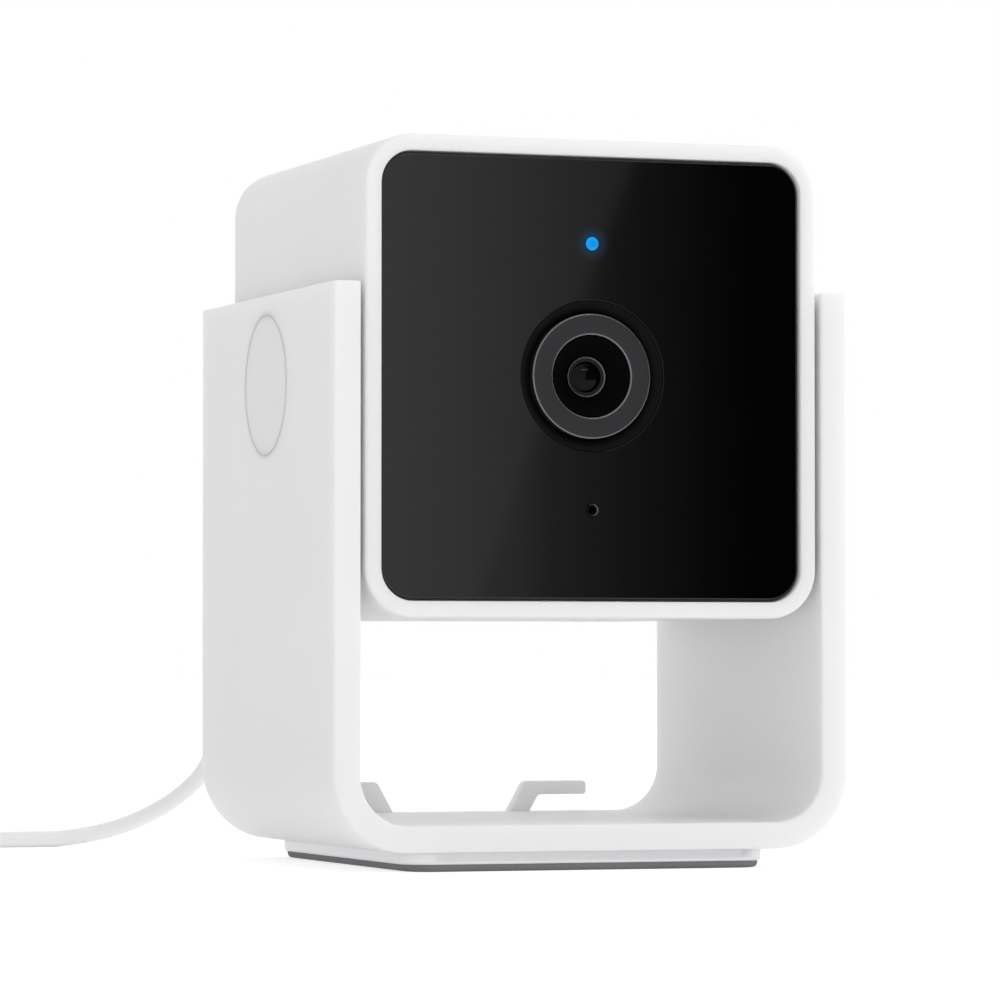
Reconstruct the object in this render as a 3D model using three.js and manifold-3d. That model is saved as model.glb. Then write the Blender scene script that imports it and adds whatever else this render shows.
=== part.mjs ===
// A cube-shaped pet camera that tilts in a U-shaped yoke, with its power lead.
// Millimetres, +Z up. The front faces -Y, and the origin is the middle of the underside.
import * as THREE from "three";
import { mergeVertices } from "three/addons/utils/BufferGeometryUtils.js";
import Module from "manifold-3d";

const wasm = await Module();
wasm.setup();

// Clearances and facets that many pieces share
const FIT = 0.15; // play round a piece in its pocket
const FACE_GAP = 0.3; // between the end of one cord piece and the next
const OVERRUN = 1; // how far a cutting solid runs past the face that it cuts
const CORNER_STEPS = 4;
const EDGE_STEPS = 2;
const SHELL_EDGE_STEPS = 3;
const ROUND_SEGMENTS = 36;
const PIVOT_SEGMENTS = 32;
const SCREW_SEGMENTS = 8;
const SMALL_SEGMENTS = 12;

// Yoke
const YOKE_WIDTH = 61;
const YOKE_DEPTH = 51.8;
const ARM_HEIGHT = 62.85;
const ARM_WALL = 3.15;
const FLOOR_WALL = 3;
const YOKE_CORNER = 8.7;
const YOKE_EDGE = 0.5;

// Cable hooks at the back edge of the yoke's floor
const HOOK_ROOT = 7.4; // from the middle to the leg, where it leaves the floor
const HOOK_LEG = 2.4;
const HOOK_LEAN_DEG = 61;
const HOOK_SPACE = 2; // under the tab
const HOOK_TAB = 1.6;
const HOOK_REACH = 17.2; // from the middle to the tab's tip
const HOOK_DEPTH = 2;
const HOOK_SETBACK = 0.7;

// Base plate and foot pad
const PLATE_WIDTH = 42.8;
const PLATE_DEPTH = 49.2;
const PLATE_THICKNESS = 1.1;
const PLATE_CORNER = 3;
const PLATE_EDGE = 0.25;
const PAD_INSET = 0.4;
const PAD_THICKNESS = 1.05;
const PAD_EDGE = 0.9;
const PLATE_SCREW_SPACING = 28;
const PLATE_SCREW_RADIUS = 0.75;
const PLATE_SCREW_HEAD_RADIUS = 1.8;
const PLATE_SCREW_GRIP = 2.2; // thread length in the yoke's floor

// Head
const HEAD_HEIGHT = 53.4;
const HEAD_DEPTH = 52.5;
const HEAD_SETBACK = 0.25; // from the yoke's front to the head's
const SIDE_GAP = 0.6; // between the head and each arm
const PIVOT_DROP = 10.27; // from the arms' tips down to the pivot
const HEAD_CORNER = 5.5;
const SHELL_WALL = 1.95;
const BACK_WALL = 2.2;
const FRONT_EDGE = 0.35;
const BACK_EDGE = 2.2;

// Pivot: a hub in each side of the head turns in a bore of the arm
const HUB_RADIUS = 4.3;
const PIVOT_PLAY = 0.1;
const HUB_FLANGE_RADIUS = 6.5;
const HUB_FLANGE = 1.6;
const HUB_SHORT = 0.1; // the hub stops this far inside the screw's face
const WASHER_RADIUS = 7;
const WASHER_PLAY = 0.1;
const PIVOT_CAP_RADIUS = 8;
const PIVOT_CAP = 1;
const PIVOT_CAP_EDGE = 0.12;
const PIVOT_POCKET = 1; // depth of the screw head's pocket behind the cap
const PIVOT_SCREW_HEAD_RADIUS = 6;
const PIVOT_SCREW_HEAD = 0.8;
const PIVOT_SCREW_RADIUS = 1.5;
const PIVOT_SCREW_LENGTH = 4.2;

// Front panel and what shows in it
const PANEL_RECESS = 0.55; // from the shell's front to the panel's face
const PANEL_GAP = 0.1;
const PANEL_THICKNESS = 1.5;
const PANEL_EDGE = 0.35;
const WELL_RADIUS = 8.5;
const LENS_RISE = 0.3; // from the head's middle up to the lens
const STATUS_LIGHT_HEIGHT = 14.8; // above the lens
const STATUS_LIGHT_RADIUS = 0.72;
const GUIDE_FLANGE_RADIUS = 1.2;
const GUIDE_FLANGE = 1.3;
const MIC_DROP = 14.95; // below the lens
const MIC_RING_RADIUS = 0.74;
const MIC_BORE_RADIUS = 0.4;
const MIC_FLANGE_RADIUS = 1.4;
const MIC_FLANGE = 1;
const MIC_SIZE = 2.8;
const MIC_THICKNESS = 1;

// Chassis behind the panel
const CARRIER_THICKNESS = 2;
const LENS_TUBE_RADIUS = 10;
const LENS_TUBE_LENGTH = 7.5;
const CARRIER_SCREW_INSET = 3.3; // from the cavity's wall
const POST_RADIUS = 2.6;
const CARRIER_SCREW_RADIUS = 0.8;
const CARRIER_SCREW_HEAD_RADIUS = 1.9;
const CARRIER_SCREW_HEAD = 1;
const CARRIER_SCREW_LENGTH = 7;
const STANDOFF_RADIUS = 2;
const STANDOFF_INSET = 2.5; // from the camera board's edges

// Lens
const LENS_RADIUS = 7.1;
const LENS_RECESS = 0.2; // from the panel's face to the lens ring
const LENS_RING_WIDTH = 2.4;
const LENS_RING_EDGE = 0.2;
const LENS_HEAD_LENGTH = 7;
const LENS_LENGTH = 14;
const LENS_THREAD_RADIUS = 6;
const CONE_DEPTH = 1.9;
const CONE_WALL = 0.2;
const CONE_FLOOR_RADIUS = 2.3;
const GLASS_RADIUS = 1.75;
const GLASS_DOME = 0.35;
const GLASS_THICKNESS = 1.2;
const SURROUND_SLOPE = 0.7;
const SURROUND_RECESS = 0.3;

// Boards and what they carry
const FRONT_BOARD_BORDER = 2.5; // past the camera board on each side
const FRONT_BOARD_CORNER = 6;
const FRONT_BOARD_THICKNESS = 1;
const IR_LED_SIZE = 2.8;
const IR_LED_HEIGHT = 1.6;
const IR_LED_X = 14.5;
const IR_LED_Z = 4.5;
const STATUS_LED_WIDTH = 1.6;
const STATUS_LED_HEIGHT = 0.6;
const CAMERA_BOARD_SIZE = 31;
const CAMERA_BOARD_THICKNESS = 1.2;
const BOARD_CORNER = 1;
const SENSOR_SIZE = 7;
const SENSOR_THICKNESS = 1;
const HOLDER_RADIUS = 8.2;
const HOLDER_BASE = 17;
const HOLDER_BASE_DEPTH = 3;
const HOLDER_WALL = 2.2;
const MAIN_BOARD_INSET = 6.4; // from the cavity's side walls
const MAIN_BOARD_DEPTH = 27.5;
const MAIN_BOARD_THICKNESS = 1.6;
const MAIN_BOARD_RISE = 1.6; // height of its bosses
const BOSS_RADIUS = 2.2;
const BOSS_INSET = 3;
const BOARD_SCREW_RADIUS = 0.7;
const BOARD_SCREW_HEAD_RADIUS = 1.6;
const BOARD_SCREW_HEAD = 0.9;
const BOARD_SCREW_GRIP = 1.9;
const PROCESSOR_SIZE = 12;
const PROCESSOR_THICKNESS = 1.4;
const WIFI_WIDTH = 9;
const WIFI_DEPTH = 10;
const WIFI_THICKNESS = 2.2;
const RIBBON_WIDTH = 9;
const RIBBON_THICKNESS = 0.3;
const RIBBON_LAP = 3; // length lying on each board

// Power socket, and the setup button with its switch
const SOCKET_INSET = 4.4; // from the main board's left edge to the socket's middle
const SOCKET_WIDTH = 7.5;
const SOCKET_HEIGHT = 2.8;
const SOCKET_LENGTH = 7;
const SOCKET_CORNER = 0.7;
const SOCKET_WALL = 0.3;
const SOCKET_RECESS = 0.6;
const BUTTON_INSET = 8.4; // from the main board's right edge to the button's middle
const BUTTON_RADIUS = 1.75;
const BUTTON_PROUD = 0.35;
const BUTTON_TRAVEL = 0.4;
const BUTTON_FLANGE_RADIUS = 2.5;
const BUTTON_FLANGE = 0.8;
const BUTTON_STEM_RADIUS = 0.9;
const BUTTON_STEM = 1.2;
const SWITCH_WIDTH = 4.2;
const SWITCH_DEPTH = 3.4;
const SWITCH_HEIGHT = 4.2;

// Speaker and its grille in the back wall
const SPEAKER_HEIGHT = 3; // above the pivot
const SPEAKER_RADIUS = 13;
const SPEAKER_FRAME = 1.6;
const SPEAKER_MAGNET_RADIUS = 8;
const SPEAKER_MAGNET = 3.2;
const GASKET_THICKNESS = 0.8;
const GASKET_WIDTH = 1.6;
const SPEAKER_RIM = 1.2;
const GRILLE_RINGS = 3;
const GRILLE_PITCH = 2.8;
const GRILLE_HOLE_RADIUS = 0.8;
const ANTENNA_LENGTH = 24;
const ANTENNA_WIDTH = 8;
const ANTENNA_THICKNESS = 0.3;
const ANTENNA_Y = 14;

// Plug in the head's socket
const PLUG_WIDTH = 10.4;
const PLUG_HEIGHT = 6.8;
const PLUG_LENGTH = 11;
const PLUG_CORNER = 2.6;
const PLUG_EDGE = 0.8;
const CONTACT_WIDTH = 6.7;
const CONTACT_HEIGHT = 1.75;
const CONTACT_INSERTED = 4.6;
const BOOT_LENGTH = 6;
const BOOT_RADIUS = 2.5;
const BOOT_TIP_RADIUS = 1.8;
const BOOT_RIBS = 3;
const BOOT_GROOVE = 0.35;

// Power lead, its coil and its far end
const CORD_RADIUS = 1;
const CORD_SIDES = 8;
const LEAD_STEPS = 26;
const TAIL_STEPS = 8;
const COIL_SIDES = 6;
const COIL_STEPS = 20; // in a loop
const COIL_LAYERS = 4;
const COIL_LOOPS = 19.25;
const COIL_MIDDLE_RADIUS = 15;
const COIL_SPACE = 0.45; // between turns, and between layers
const TIE_THICKNESS = 0.5;
const TIE_WIDTH = 4;
const TIE_ANGLE_DEG = 305;
const SUPPLY_WIDTH = 16;
const SUPPLY_HEIGHT = 8;
const SUPPLY_LENGTH = 18;
const SUPPLY_CORNER = 2.4;
const SUPPLY_CONTACT_WIDTH = 12;
const SUPPLY_CONTACT_HEIGHT = 4.5;
const SUPPLY_CONTACT_LENGTH = 12;

// Levels and places that follow from those sizes
const YOKE_BOTTOM = PAD_THICKNESS + PLATE_THICKNESS;
const HEAD_WIDTH = YOKE_WIDTH - 2 * (ARM_WALL + SIDE_GAP);
const PIVOT_HEIGHT = ARM_HEIGHT - PIVOT_DROP;
const PIVOT_Z = YOKE_BOTTOM + PIVOT_HEIGHT;
const HEAD_FRONT = -YOKE_DEPTH / 2 + HEAD_SETBACK;
const HEAD_BACK = HEAD_FRONT + HEAD_DEPTH;
const CAVITY_WIDTH = HEAD_WIDTH - 2 * SHELL_WALL;
const CAVITY_HEIGHT = HEAD_HEIGHT - 2 * SHELL_WALL;
const CAVITY_CORNER = HEAD_CORNER - SHELL_WALL;
const CAVITY_BACK = HEAD_BACK - BACK_WALL;
const CAVITY_FLOOR = -CAVITY_HEIGHT / 2;
const ARM_OUTSIDE = YOKE_WIDTH / 2;
const ARM_INSIDE = ARM_OUTSIDE - ARM_WALL;
const SCREW_FACE = ARM_OUTSIDE - PIVOT_CAP - PIVOT_POCKET;
const PANEL_FRONT = HEAD_FRONT + PANEL_RECESS;
const PANEL_BACK = PANEL_FRONT + PANEL_THICKNESS;
const CARRIER_BACK = PANEL_BACK + CARRIER_THICKNESS;
const LENS_FRONT = PANEL_FRONT + LENS_RECESS;
const STATUS_LIGHT_Z = LENS_RISE + STATUS_LIGHT_HEIGHT;
const MIC_Z = LENS_RISE - MIC_DROP;
const CONE_RADIUS = LENS_RADIUS - LENS_RING_WIDTH;
const LENS_BACK = LENS_FRONT + LENS_LENGTH;
const CAMERA_BOARD_FRONT = LENS_BACK + SENSOR_THICKNESS + CAMERA_BOARD_THICKNESS;
const CAMERA_BOARD_BACK = CAMERA_BOARD_FRONT + CAMERA_BOARD_THICKNESS;
const STANDOFF_OFFSET = CAMERA_BOARD_SIZE / 2 - STANDOFF_INSET;
const FRONT_BOARD_SIZE = CAMERA_BOARD_SIZE + 2 * FRONT_BOARD_BORDER;
const POST_X = CAVITY_WIDTH / 2 - CARRIER_SCREW_INSET;
const POST_Z = CAVITY_HEIGHT / 2 - CARRIER_SCREW_INSET;
const MAIN_BOARD_WIDTH = CAVITY_WIDTH - 2 * MAIN_BOARD_INSET;
const MAIN_BOARD_BOTTOM = CAVITY_FLOOR + MAIN_BOARD_RISE;
const MAIN_BOARD_TOP = MAIN_BOARD_BOTTOM + MAIN_BOARD_THICKNESS;
const MAIN_BOARD_BACK = CAVITY_BACK - FIT;
const MAIN_BOARD_FRONT = MAIN_BOARD_BACK - MAIN_BOARD_DEPTH;
const SOCKET_X = SOCKET_INSET - MAIN_BOARD_WIDTH / 2;
const SOCKET_Z = MAIN_BOARD_TOP + SOCKET_HEIGHT / 2;
const SOCKET_BACK = HEAD_BACK - SOCKET_RECESS;
const BUTTON_X = MAIN_BOARD_WIDTH / 2 - BUTTON_INSET;
const BUTTON_Z = MAIN_BOARD_TOP + BUTTON_FLANGE_RADIUS + FIT;
const SIDES = { left: -1, right: 1 };
const FOUR_CORNERS = [
  [-1, 1],
  [1, 1],
  [-1, -1],
  [1, -1],
];

// Shapes

// A rounded rectangle's outline, anticlockwise about the origin
function roundedRect(width, height, radius) {
  const across = width / 2 - radius;
  const up = height / 2 - radius;
  const centres = [
    [across, up],
    [-across, up],
    [-across, -up],
    [across, -up],
  ];
  return centres.flatMap(([x, y], quarter) =>
    Array.from({ length: CORNER_STEPS + 1 }, (_, i) => {
      const angle = ((quarter + i / CORNER_STEPS) * Math.PI) / 2;
      return new THREE.Vector2(x + radius * Math.cos(angle), y + radius * Math.sin(angle));
    }),
  );
}

// A closed solid through rings of equal point counts, given from the lowest up
function loft(rings) {
  const count = rings[0].outline.length;
  const positions = rings.flatMap(({ outline, at }) => outline.flatMap((p) => [p.x, p.y, at]));
  const index = [];
  for (let ring = 0; ring < rings.length - 1; ring += 1) {
    for (let i = 0; i < count; i += 1) {
      const a = ring * count + i;
      const b = ring * count + ((i + 1) % count);
      index.push(a, b, b + count, a, b + count, a + count);
    }
  }
  const last = (rings.length - 1) * count;
  for (const [a, b, c] of THREE.ShapeUtils.triangulateShape(rings[0].outline, [])) {
    index.push(a, c, b);
  }
  for (const [a, b, c] of THREE.ShapeUtils.triangulateShape(rings.at(-1).outline, [])) {
    index.push(last + a, last + b, last + c);
  }
  const geometry = new THREE.BufferGeometry();
  geometry.setAttribute("position", new THREE.Float32BufferAttribute(positions, 3));
  geometry.setIndex(index);
  return geometry;
}

// A block with rounded corners, standing from low to high, each end edge rounded by its own radius
function block({ width, height, corner, low, high, lowEdge = 0, highEdge = 0, steps = EDGE_STEPS }) {
  const rings = [];
  const ring = (inset, at) => {
    const outline = roundedRect(width - 2 * inset, height - 2 * inset, corner - inset);
    rings.push({ outline, at });
  };
  const quarters = Array.from({ length: steps + 1 }, (_, i) => (i / steps) * (Math.PI / 2));
  if (lowEdge > 0) {
    quarters.forEach((a) => ring(lowEdge * (1 - Math.sin(a)), low + lowEdge * (1 - Math.cos(a))));
  } else {
    ring(0, low);
  }
  if (highEdge > 0) {
    quarters.forEach((a) => ring(highEdge * (1 - Math.cos(a)), high - highEdge * (1 - Math.sin(a))));
  } else {
    ring(0, high);
  }
  return loft(rings);
}

// The same block seen from the front: width along X, height along Z, from front to back along Y
function frontBlock({ front, back, frontEdge = 0, backEdge = 0, ...sizes }) {
  const upright = block({ ...sizes, low: -back, high: -front, lowEdge: backEdge, highEdge: frontEdge });
  return upright.rotateX(Math.PI / 2);
}

// A box between two corners
function box([x0, y0, z0], [x1, y1, z1]) {
  const geometry = new THREE.BoxGeometry(x1 - x0, y1 - y0, z1 - z0);
  return geometry.translate((x0 + x1) / 2, (y0 + y1) / 2, (z0 + z1) / 2);
}

// Cylinders along Y, Z and X
function rodY(radius, from, to, x, z, segments = SMALL_SEGMENTS) {
  const geometry = new THREE.CylinderGeometry(radius, radius, to - from, segments);
  return geometry.translate(x, (from + to) / 2, z);
}

function rodZ(radius, from, to, x, y, segments = SMALL_SEGMENTS) {
  const geometry = new THREE.CylinderGeometry(radius, radius, to - from, segments);
  return geometry.rotateX(Math.PI / 2).translate(x, y, (from + to) / 2);
}

function rodX(radius, from, to, segments = PIVOT_SEGMENTS) {
  const geometry = new THREE.CylinderGeometry(radius, radius, to - from, segments);
  return geometry.rotateZ(Math.PI / 2).translate((from + to) / 2, 0, 0);
}

// A closed profile of [radius, place] pairs turned about Y
function turned(profile, segments = SMALL_SEGMENTS) {
  const closed = [...profile];
  if (profile.every(([radius]) => radius > 0)) {
    closed.push(profile[0]);
  }
  const points = closed.map(([radius, along]) => new THREE.Vector2(radius, along));
  return new THREE.LatheGeometry(points, segments);
}

// The same profile turned about X, its places measured outwards on one side of the head
const turnedOutwards = (profile, side, segments) =>
  turned(profile, segments).rotateZ((-side * Math.PI) / 2);

// Booleans
const MERGE_TOLERANCE = 1e-4;

function solid(geometry) {
  const bare = geometry.clone();
  bare.deleteAttribute("normal");
  bare.deleteAttribute("uv");
  const merged = mergeVertices(bare, MERGE_TOLERANCE);
  const corners = merged.index.array;
  const faces = [];
  for (let i = 0; i < corners.length; i += 3) {
    const [a, b, c] = corners.subarray(i, i + 3);
    if (a !== b && b !== c && c !== a) {
      faces.push(a, b, c);
    }
  }
  const vertProperties = merged.attributes.position.array;
  const triVerts = new Uint32Array(faces);
  return new wasm.Manifold(new wasm.Mesh({ numProp: 3, vertProperties, triVerts }));
}

function fromSolid(made) {
  const mesh = made.getMesh();
  const geometry = new THREE.BufferGeometry();
  geometry.setAttribute("position", new THREE.BufferAttribute(mesh.vertProperties, 3));
  geometry.setIndex(new THREE.BufferAttribute(mesh.triVerts, 1));
  return geometry;
}

const joined = (...parts) => fromSolid(parts.map(solid).reduce((a, b) => a.add(b)));

function cut(body, ...tools) {
  const removed = tools.map(solid).reduce((a, b) => a.add(b));
  return fromSolid(solid(body).subtract(removed));
}

// Yoke: one U-shaped moulding with its pivot bores and cable hooks
function uProfile() {
  const shape = new THREE.Shape();
  const side = ARM_OUTSIDE - YOKE_CORNER;
  const inner = YOKE_CORNER - ARM_WALL;
  shape.moveTo(-ARM_OUTSIDE, ARM_HEIGHT);
  shape.lineTo(-ARM_OUTSIDE, YOKE_CORNER);
  shape.absarc(-side, YOKE_CORNER, YOKE_CORNER, Math.PI, 1.5 * Math.PI, false);
  shape.lineTo(side, 0);
  shape.absarc(side, YOKE_CORNER, YOKE_CORNER, -Math.PI / 2, 0, false);
  shape.lineTo(ARM_OUTSIDE, ARM_HEIGHT);
  shape.lineTo(ARM_INSIDE, ARM_HEIGHT);
  shape.lineTo(ARM_INSIDE, FLOOR_WALL + inner);
  shape.absarc(side, FLOOR_WALL + inner, inner, 0, -Math.PI / 2, true);
  shape.lineTo(-side, FLOOR_WALL);
  shape.absarc(-side, FLOOR_WALL + inner, inner, 1.5 * Math.PI, Math.PI, true);
  shape.lineTo(-ARM_INSIDE, ARM_HEIGHT);
  return shape;
}

function hookProfile(side) {
  const lean = Math.tan(THREE.MathUtils.degToRad(HOOK_LEAN_DEG));
  const top = HOOK_SPACE + HOOK_TAB;
  const tip = HOOK_TAB / 4;
  const points = [
    [HOOK_ROOT - YOKE_EDGE / lean, -YOKE_EDGE],
    [HOOK_ROOT + HOOK_LEG - YOKE_EDGE / lean, -YOKE_EDGE],
    [HOOK_ROOT + HOOK_LEG + HOOK_SPACE / lean, HOOK_SPACE],
    [HOOK_REACH - tip, HOOK_SPACE],
    [HOOK_REACH, HOOK_SPACE + tip],
    [HOOK_REACH, top - tip],
    [HOOK_REACH - tip, top],
    [HOOK_ROOT + (top + tip) / lean, top],
    [HOOK_ROOT + (top - tip) / lean, top - tip],
  ];
  return new THREE.Shape(points.map(([x, y]) => new THREE.Vector2(side * x, FLOOR_WALL + y)));
}

// Extrudes a profile seen from the front, from one place along Y to another
function extrudedBack(shape, front, back, edge = 0) {
  const geometry = new THREE.ExtrudeGeometry(shape, {
    depth: back - front - 2 * edge,
    curveSegments: 2 * CORNER_STEPS,
    bevelEnabled: edge > 0,
    bevelThickness: edge,
    bevelSize: edge,
    bevelOffset: -edge,
    bevelSegments: EDGE_STEPS,
  });
  return geometry.translate(0, 0, edge - back).rotateX(Math.PI / 2);
}

function yoke() {
  const halfDepth = YOKE_DEPTH / 2;
  const hookBack = halfDepth - HOOK_SETBACK;
  const hooks = Object.values(SIDES).map((side) =>
    extrudedBack(hookProfile(side), hookBack - HOOK_DEPTH, hookBack),
  );
  const body = joined(extrudedBack(uProfile(), -halfDepth, halfDepth, YOKE_EDGE), ...hooks);
  const boreOutwards = [
    rodX(HUB_RADIUS + PIVOT_PLAY, ARM_INSIDE - OVERRUN, ARM_OUTSIDE + OVERRUN),
    rodX(PIVOT_SCREW_HEAD_RADIUS + FIT, SCREW_FACE, ARM_OUTSIDE + OVERRUN),
    rodX(PIVOT_CAP_RADIUS + FIT, ARM_OUTSIDE - PIVOT_CAP, ARM_OUTSIDE + OVERRUN, ROUND_SEGMENTS),
  ];
  const bores = Object.values(SIDES).flatMap((side) =>
    boreOutwards.map((tool) =>
      tool.clone().rotateZ(side > 0 ? 0 : Math.PI).translate(0, 0, PIVOT_HEIGHT),
    ),
  );
  const pilots = Object.values(SIDES).map((side) =>
    rodZ(PLATE_SCREW_RADIUS + FIT, -OVERRUN, PLATE_SCREW_GRIP + FIT, (side * PLATE_SCREW_SPACING) / 2, 0),
  );
  return cut(body, ...bores, ...pilots).translate(0, 0, YOKE_BOTTOM);
}

function basePlate() {
  const plate = block({
    width: PLATE_WIDTH,
    height: PLATE_DEPTH,
    corner: PLATE_CORNER,
    low: PAD_THICKNESS,
    high: YOKE_BOTTOM,
    highEdge: PLATE_EDGE,
  });
  const sinks = Object.values(SIDES).map((side) => {
    const hole = plateScrewProfile(FIT, OVERRUN);
    return turned(hole).rotateX(Math.PI / 2).translate((side * PLATE_SCREW_SPACING) / 2, 0, PAD_THICKNESS);
  });
  return cut(plate, ...sinks);
}

// A countersunk screw, from its flat head up, wider by play and run on at both ends for a cutting solid
function plateScrewProfile(play, overrun) {
  const sink = PLATE_THICKNESS / 2;
  return [
    [0, -overrun],
    [PLATE_SCREW_HEAD_RADIUS + play, -overrun],
    [PLATE_SCREW_HEAD_RADIUS + play, play],
    [PLATE_SCREW_RADIUS + play, sink + play],
    [PLATE_SCREW_RADIUS + play, PLATE_THICKNESS + PLATE_SCREW_GRIP + overrun],
    [0, PLATE_THICKNESS + PLATE_SCREW_GRIP + overrun],
  ];
}

const plateScrew = (side) =>
  turned(plateScrewProfile(0, 0), SCREW_SEGMENTS)
    .rotateX(Math.PI / 2)
    .translate((side * PLATE_SCREW_SPACING) / 2, 0, PAD_THICKNESS);

const footPad = () =>
  block({
    width: PLATE_WIDTH - 2 * PAD_INSET,
    height: PLATE_DEPTH - 2 * PAD_INSET,
    corner: PLATE_CORNER - PAD_INSET,
    low: 0,
    high: PAD_THICKNESS,
    lowEdge: PAD_EDGE,
  });

// Pivot pieces, drawn outwards from the middle of the head along X
const pivotCap = (side) =>
  turnedOutwards(
    [
      [0, ARM_OUTSIDE - PIVOT_CAP],
      [PIVOT_CAP_RADIUS, ARM_OUTSIDE - PIVOT_CAP],
      [PIVOT_CAP_RADIUS, ARM_OUTSIDE - PIVOT_CAP_EDGE],
      [PIVOT_CAP_RADIUS - PIVOT_CAP_EDGE, ARM_OUTSIDE],
      [0, ARM_OUTSIDE],
    ],
    side,
    ROUND_SEGMENTS,
  );

const frictionWasher = (side) =>
  turnedOutwards(
    [
      [HUB_RADIUS + PIVOT_PLAY, ARM_INSIDE - SIDE_GAP + WASHER_PLAY],
      [WASHER_RADIUS, ARM_INSIDE - SIDE_GAP + WASHER_PLAY],
      [WASHER_RADIUS, ARM_INSIDE],
      [HUB_RADIUS + PIVOT_PLAY, ARM_INSIDE],
    ],
    side,
    PIVOT_SEGMENTS,
  );

const pivotHub = (side) =>
  turnedOutwards(
    [
      [PIVOT_SCREW_RADIUS + PIVOT_PLAY, CAVITY_WIDTH / 2 - HUB_FLANGE],
      [HUB_FLANGE_RADIUS, CAVITY_WIDTH / 2 - HUB_FLANGE],
      [HUB_FLANGE_RADIUS, CAVITY_WIDTH / 2],
      [HUB_RADIUS, CAVITY_WIDTH / 2],
      [HUB_RADIUS, SCREW_FACE - HUB_SHORT],
      [PIVOT_SCREW_RADIUS + PIVOT_PLAY, SCREW_FACE - HUB_SHORT],
    ],
    side,
    PIVOT_SEGMENTS,
  );

const pivotScrew = (side) =>
  turnedOutwards(
    [
      [0, SCREW_FACE - PIVOT_SCREW_LENGTH],
      [PIVOT_SCREW_RADIUS, SCREW_FACE - PIVOT_SCREW_LENGTH],
      [PIVOT_SCREW_RADIUS, SCREW_FACE],
      [PIVOT_SCREW_HEAD_RADIUS, SCREW_FACE],
      [PIVOT_SCREW_HEAD_RADIUS, SCREW_FACE + PIVOT_SCREW_HEAD],
      [0, SCREW_FACE + PIVOT_SCREW_HEAD],
    ],
    side,
    PIVOT_SEGMENTS,
  );

// Head shell: an open-fronted tub with corner posts, board bosses, speaker rim and grille
function grilleHoles() {
  const holes = [];
  for (let q = -GRILLE_RINGS; q <= GRILLE_RINGS; q += 1) {
    for (let r = -GRILLE_RINGS; r <= GRILLE_RINGS; r += 1) {
      if (Math.abs(q + r) <= GRILLE_RINGS) {
        const x = GRILLE_PITCH * (q + r / 2);
        const z = SPEAKER_HEIGHT + (GRILLE_PITCH * r * Math.sqrt(3)) / 2;
        const from = CAVITY_BACK - OVERRUN;
        holes.push(rodY(GRILLE_HOLE_RADIUS, from, HEAD_BACK + OVERRUN, x, z, SMALL_SEGMENTS / 2));
      }
    }
  }
  return holes;
}

const bossPlaces = () =>
  FOUR_CORNERS.map(([sx, sy]) => [
    sx * (MAIN_BOARD_WIDTH / 2 - BOSS_INSET),
    sy > 0 ? MAIN_BOARD_BACK - BOSS_INSET - SOCKET_LENGTH : MAIN_BOARD_FRONT + BOSS_INSET,
  ]);

function headShell() {
  const outside = frontBlock({
    width: HEAD_WIDTH,
    height: HEAD_HEIGHT,
    corner: HEAD_CORNER,
    front: HEAD_FRONT,
    back: HEAD_BACK,
    frontEdge: FRONT_EDGE,
    backEdge: BACK_EDGE,
    steps: SHELL_EDGE_STEPS,
  });
  const cavity = frontBlock({
    width: CAVITY_WIDTH,
    height: CAVITY_HEIGHT,
    corner: CAVITY_CORNER,
    front: HEAD_FRONT - OVERRUN,
    back: CAVITY_BACK,
  });
  const inWall = SHELL_WALL / 2;
  const posts = FOUR_CORNERS.map(([sx, sz]) =>
    rodY(POST_RADIUS, CARRIER_BACK, CAVITY_BACK + inWall, sx * POST_X, sz * POST_Z),
  );
  const bosses = bossPlaces().map(([x, y]) =>
    rodZ(BOSS_RADIUS, CAVITY_FLOOR - inWall, MAIN_BOARD_BOTTOM, x, y),
  );
  const rimInside = SPEAKER_RADIUS + FIT;
  const rimFront = CAVITY_BACK - GASKET_THICKNESS - SPEAKER_FRAME;
  const rim = turned(
    [
      [rimInside, rimFront],
      [rimInside + SPEAKER_RIM, rimFront],
      [rimInside + SPEAKER_RIM, CAVITY_BACK + inWall],
      [rimInside, CAVITY_BACK + inWall],
    ],
    ROUND_SEGMENTS / 2,
  ).translate(0, 0, SPEAKER_HEIGHT);
  const tub = joined(cut(outside, cavity), ...posts, ...bosses, rim);
  const postPilots = FOUR_CORNERS.map(([sx, sz]) => {
    const depth = CARRIER_BACK + CARRIER_SCREW_LENGTH;
    return rodY(CARRIER_SCREW_RADIUS + FIT, CARRIER_BACK - OVERRUN, depth, sx * POST_X, sz * POST_Z, SCREW_SEGMENTS);
  });
  const bossPilots = bossPlaces().map(([x, y]) => {
    const bottom = MAIN_BOARD_BOTTOM - BOARD_SCREW_GRIP - FIT;
    return rodZ(BOARD_SCREW_RADIUS + FIT, bottom, MAIN_BOARD_BOTTOM + OVERRUN, x, y, SCREW_SEGMENTS);
  });
  const pivotHole = rodX(HUB_RADIUS + PIVOT_PLAY, -HEAD_WIDTH / 2 - OVERRUN, HEAD_WIDTH / 2 + OVERRUN);
  const socketHole = frontBlock({
    width: SOCKET_WIDTH + 2 * FIT,
    height: SOCKET_HEIGHT + 2 * FIT,
    corner: SOCKET_CORNER + FIT,
    front: CAVITY_BACK - OVERRUN,
    back: HEAD_BACK + OVERRUN,
  }).translate(SOCKET_X, 0, SOCKET_Z);
  const buttonHole = rodY(BUTTON_RADIUS + FIT, CAVITY_BACK - OVERRUN, HEAD_BACK + OVERRUN, BUTTON_X, BUTTON_Z);
  return cut(tub, ...postPilots, ...bossPilots, pivotHole, socketHole, buttonHole, ...grilleHoles());
}

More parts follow.
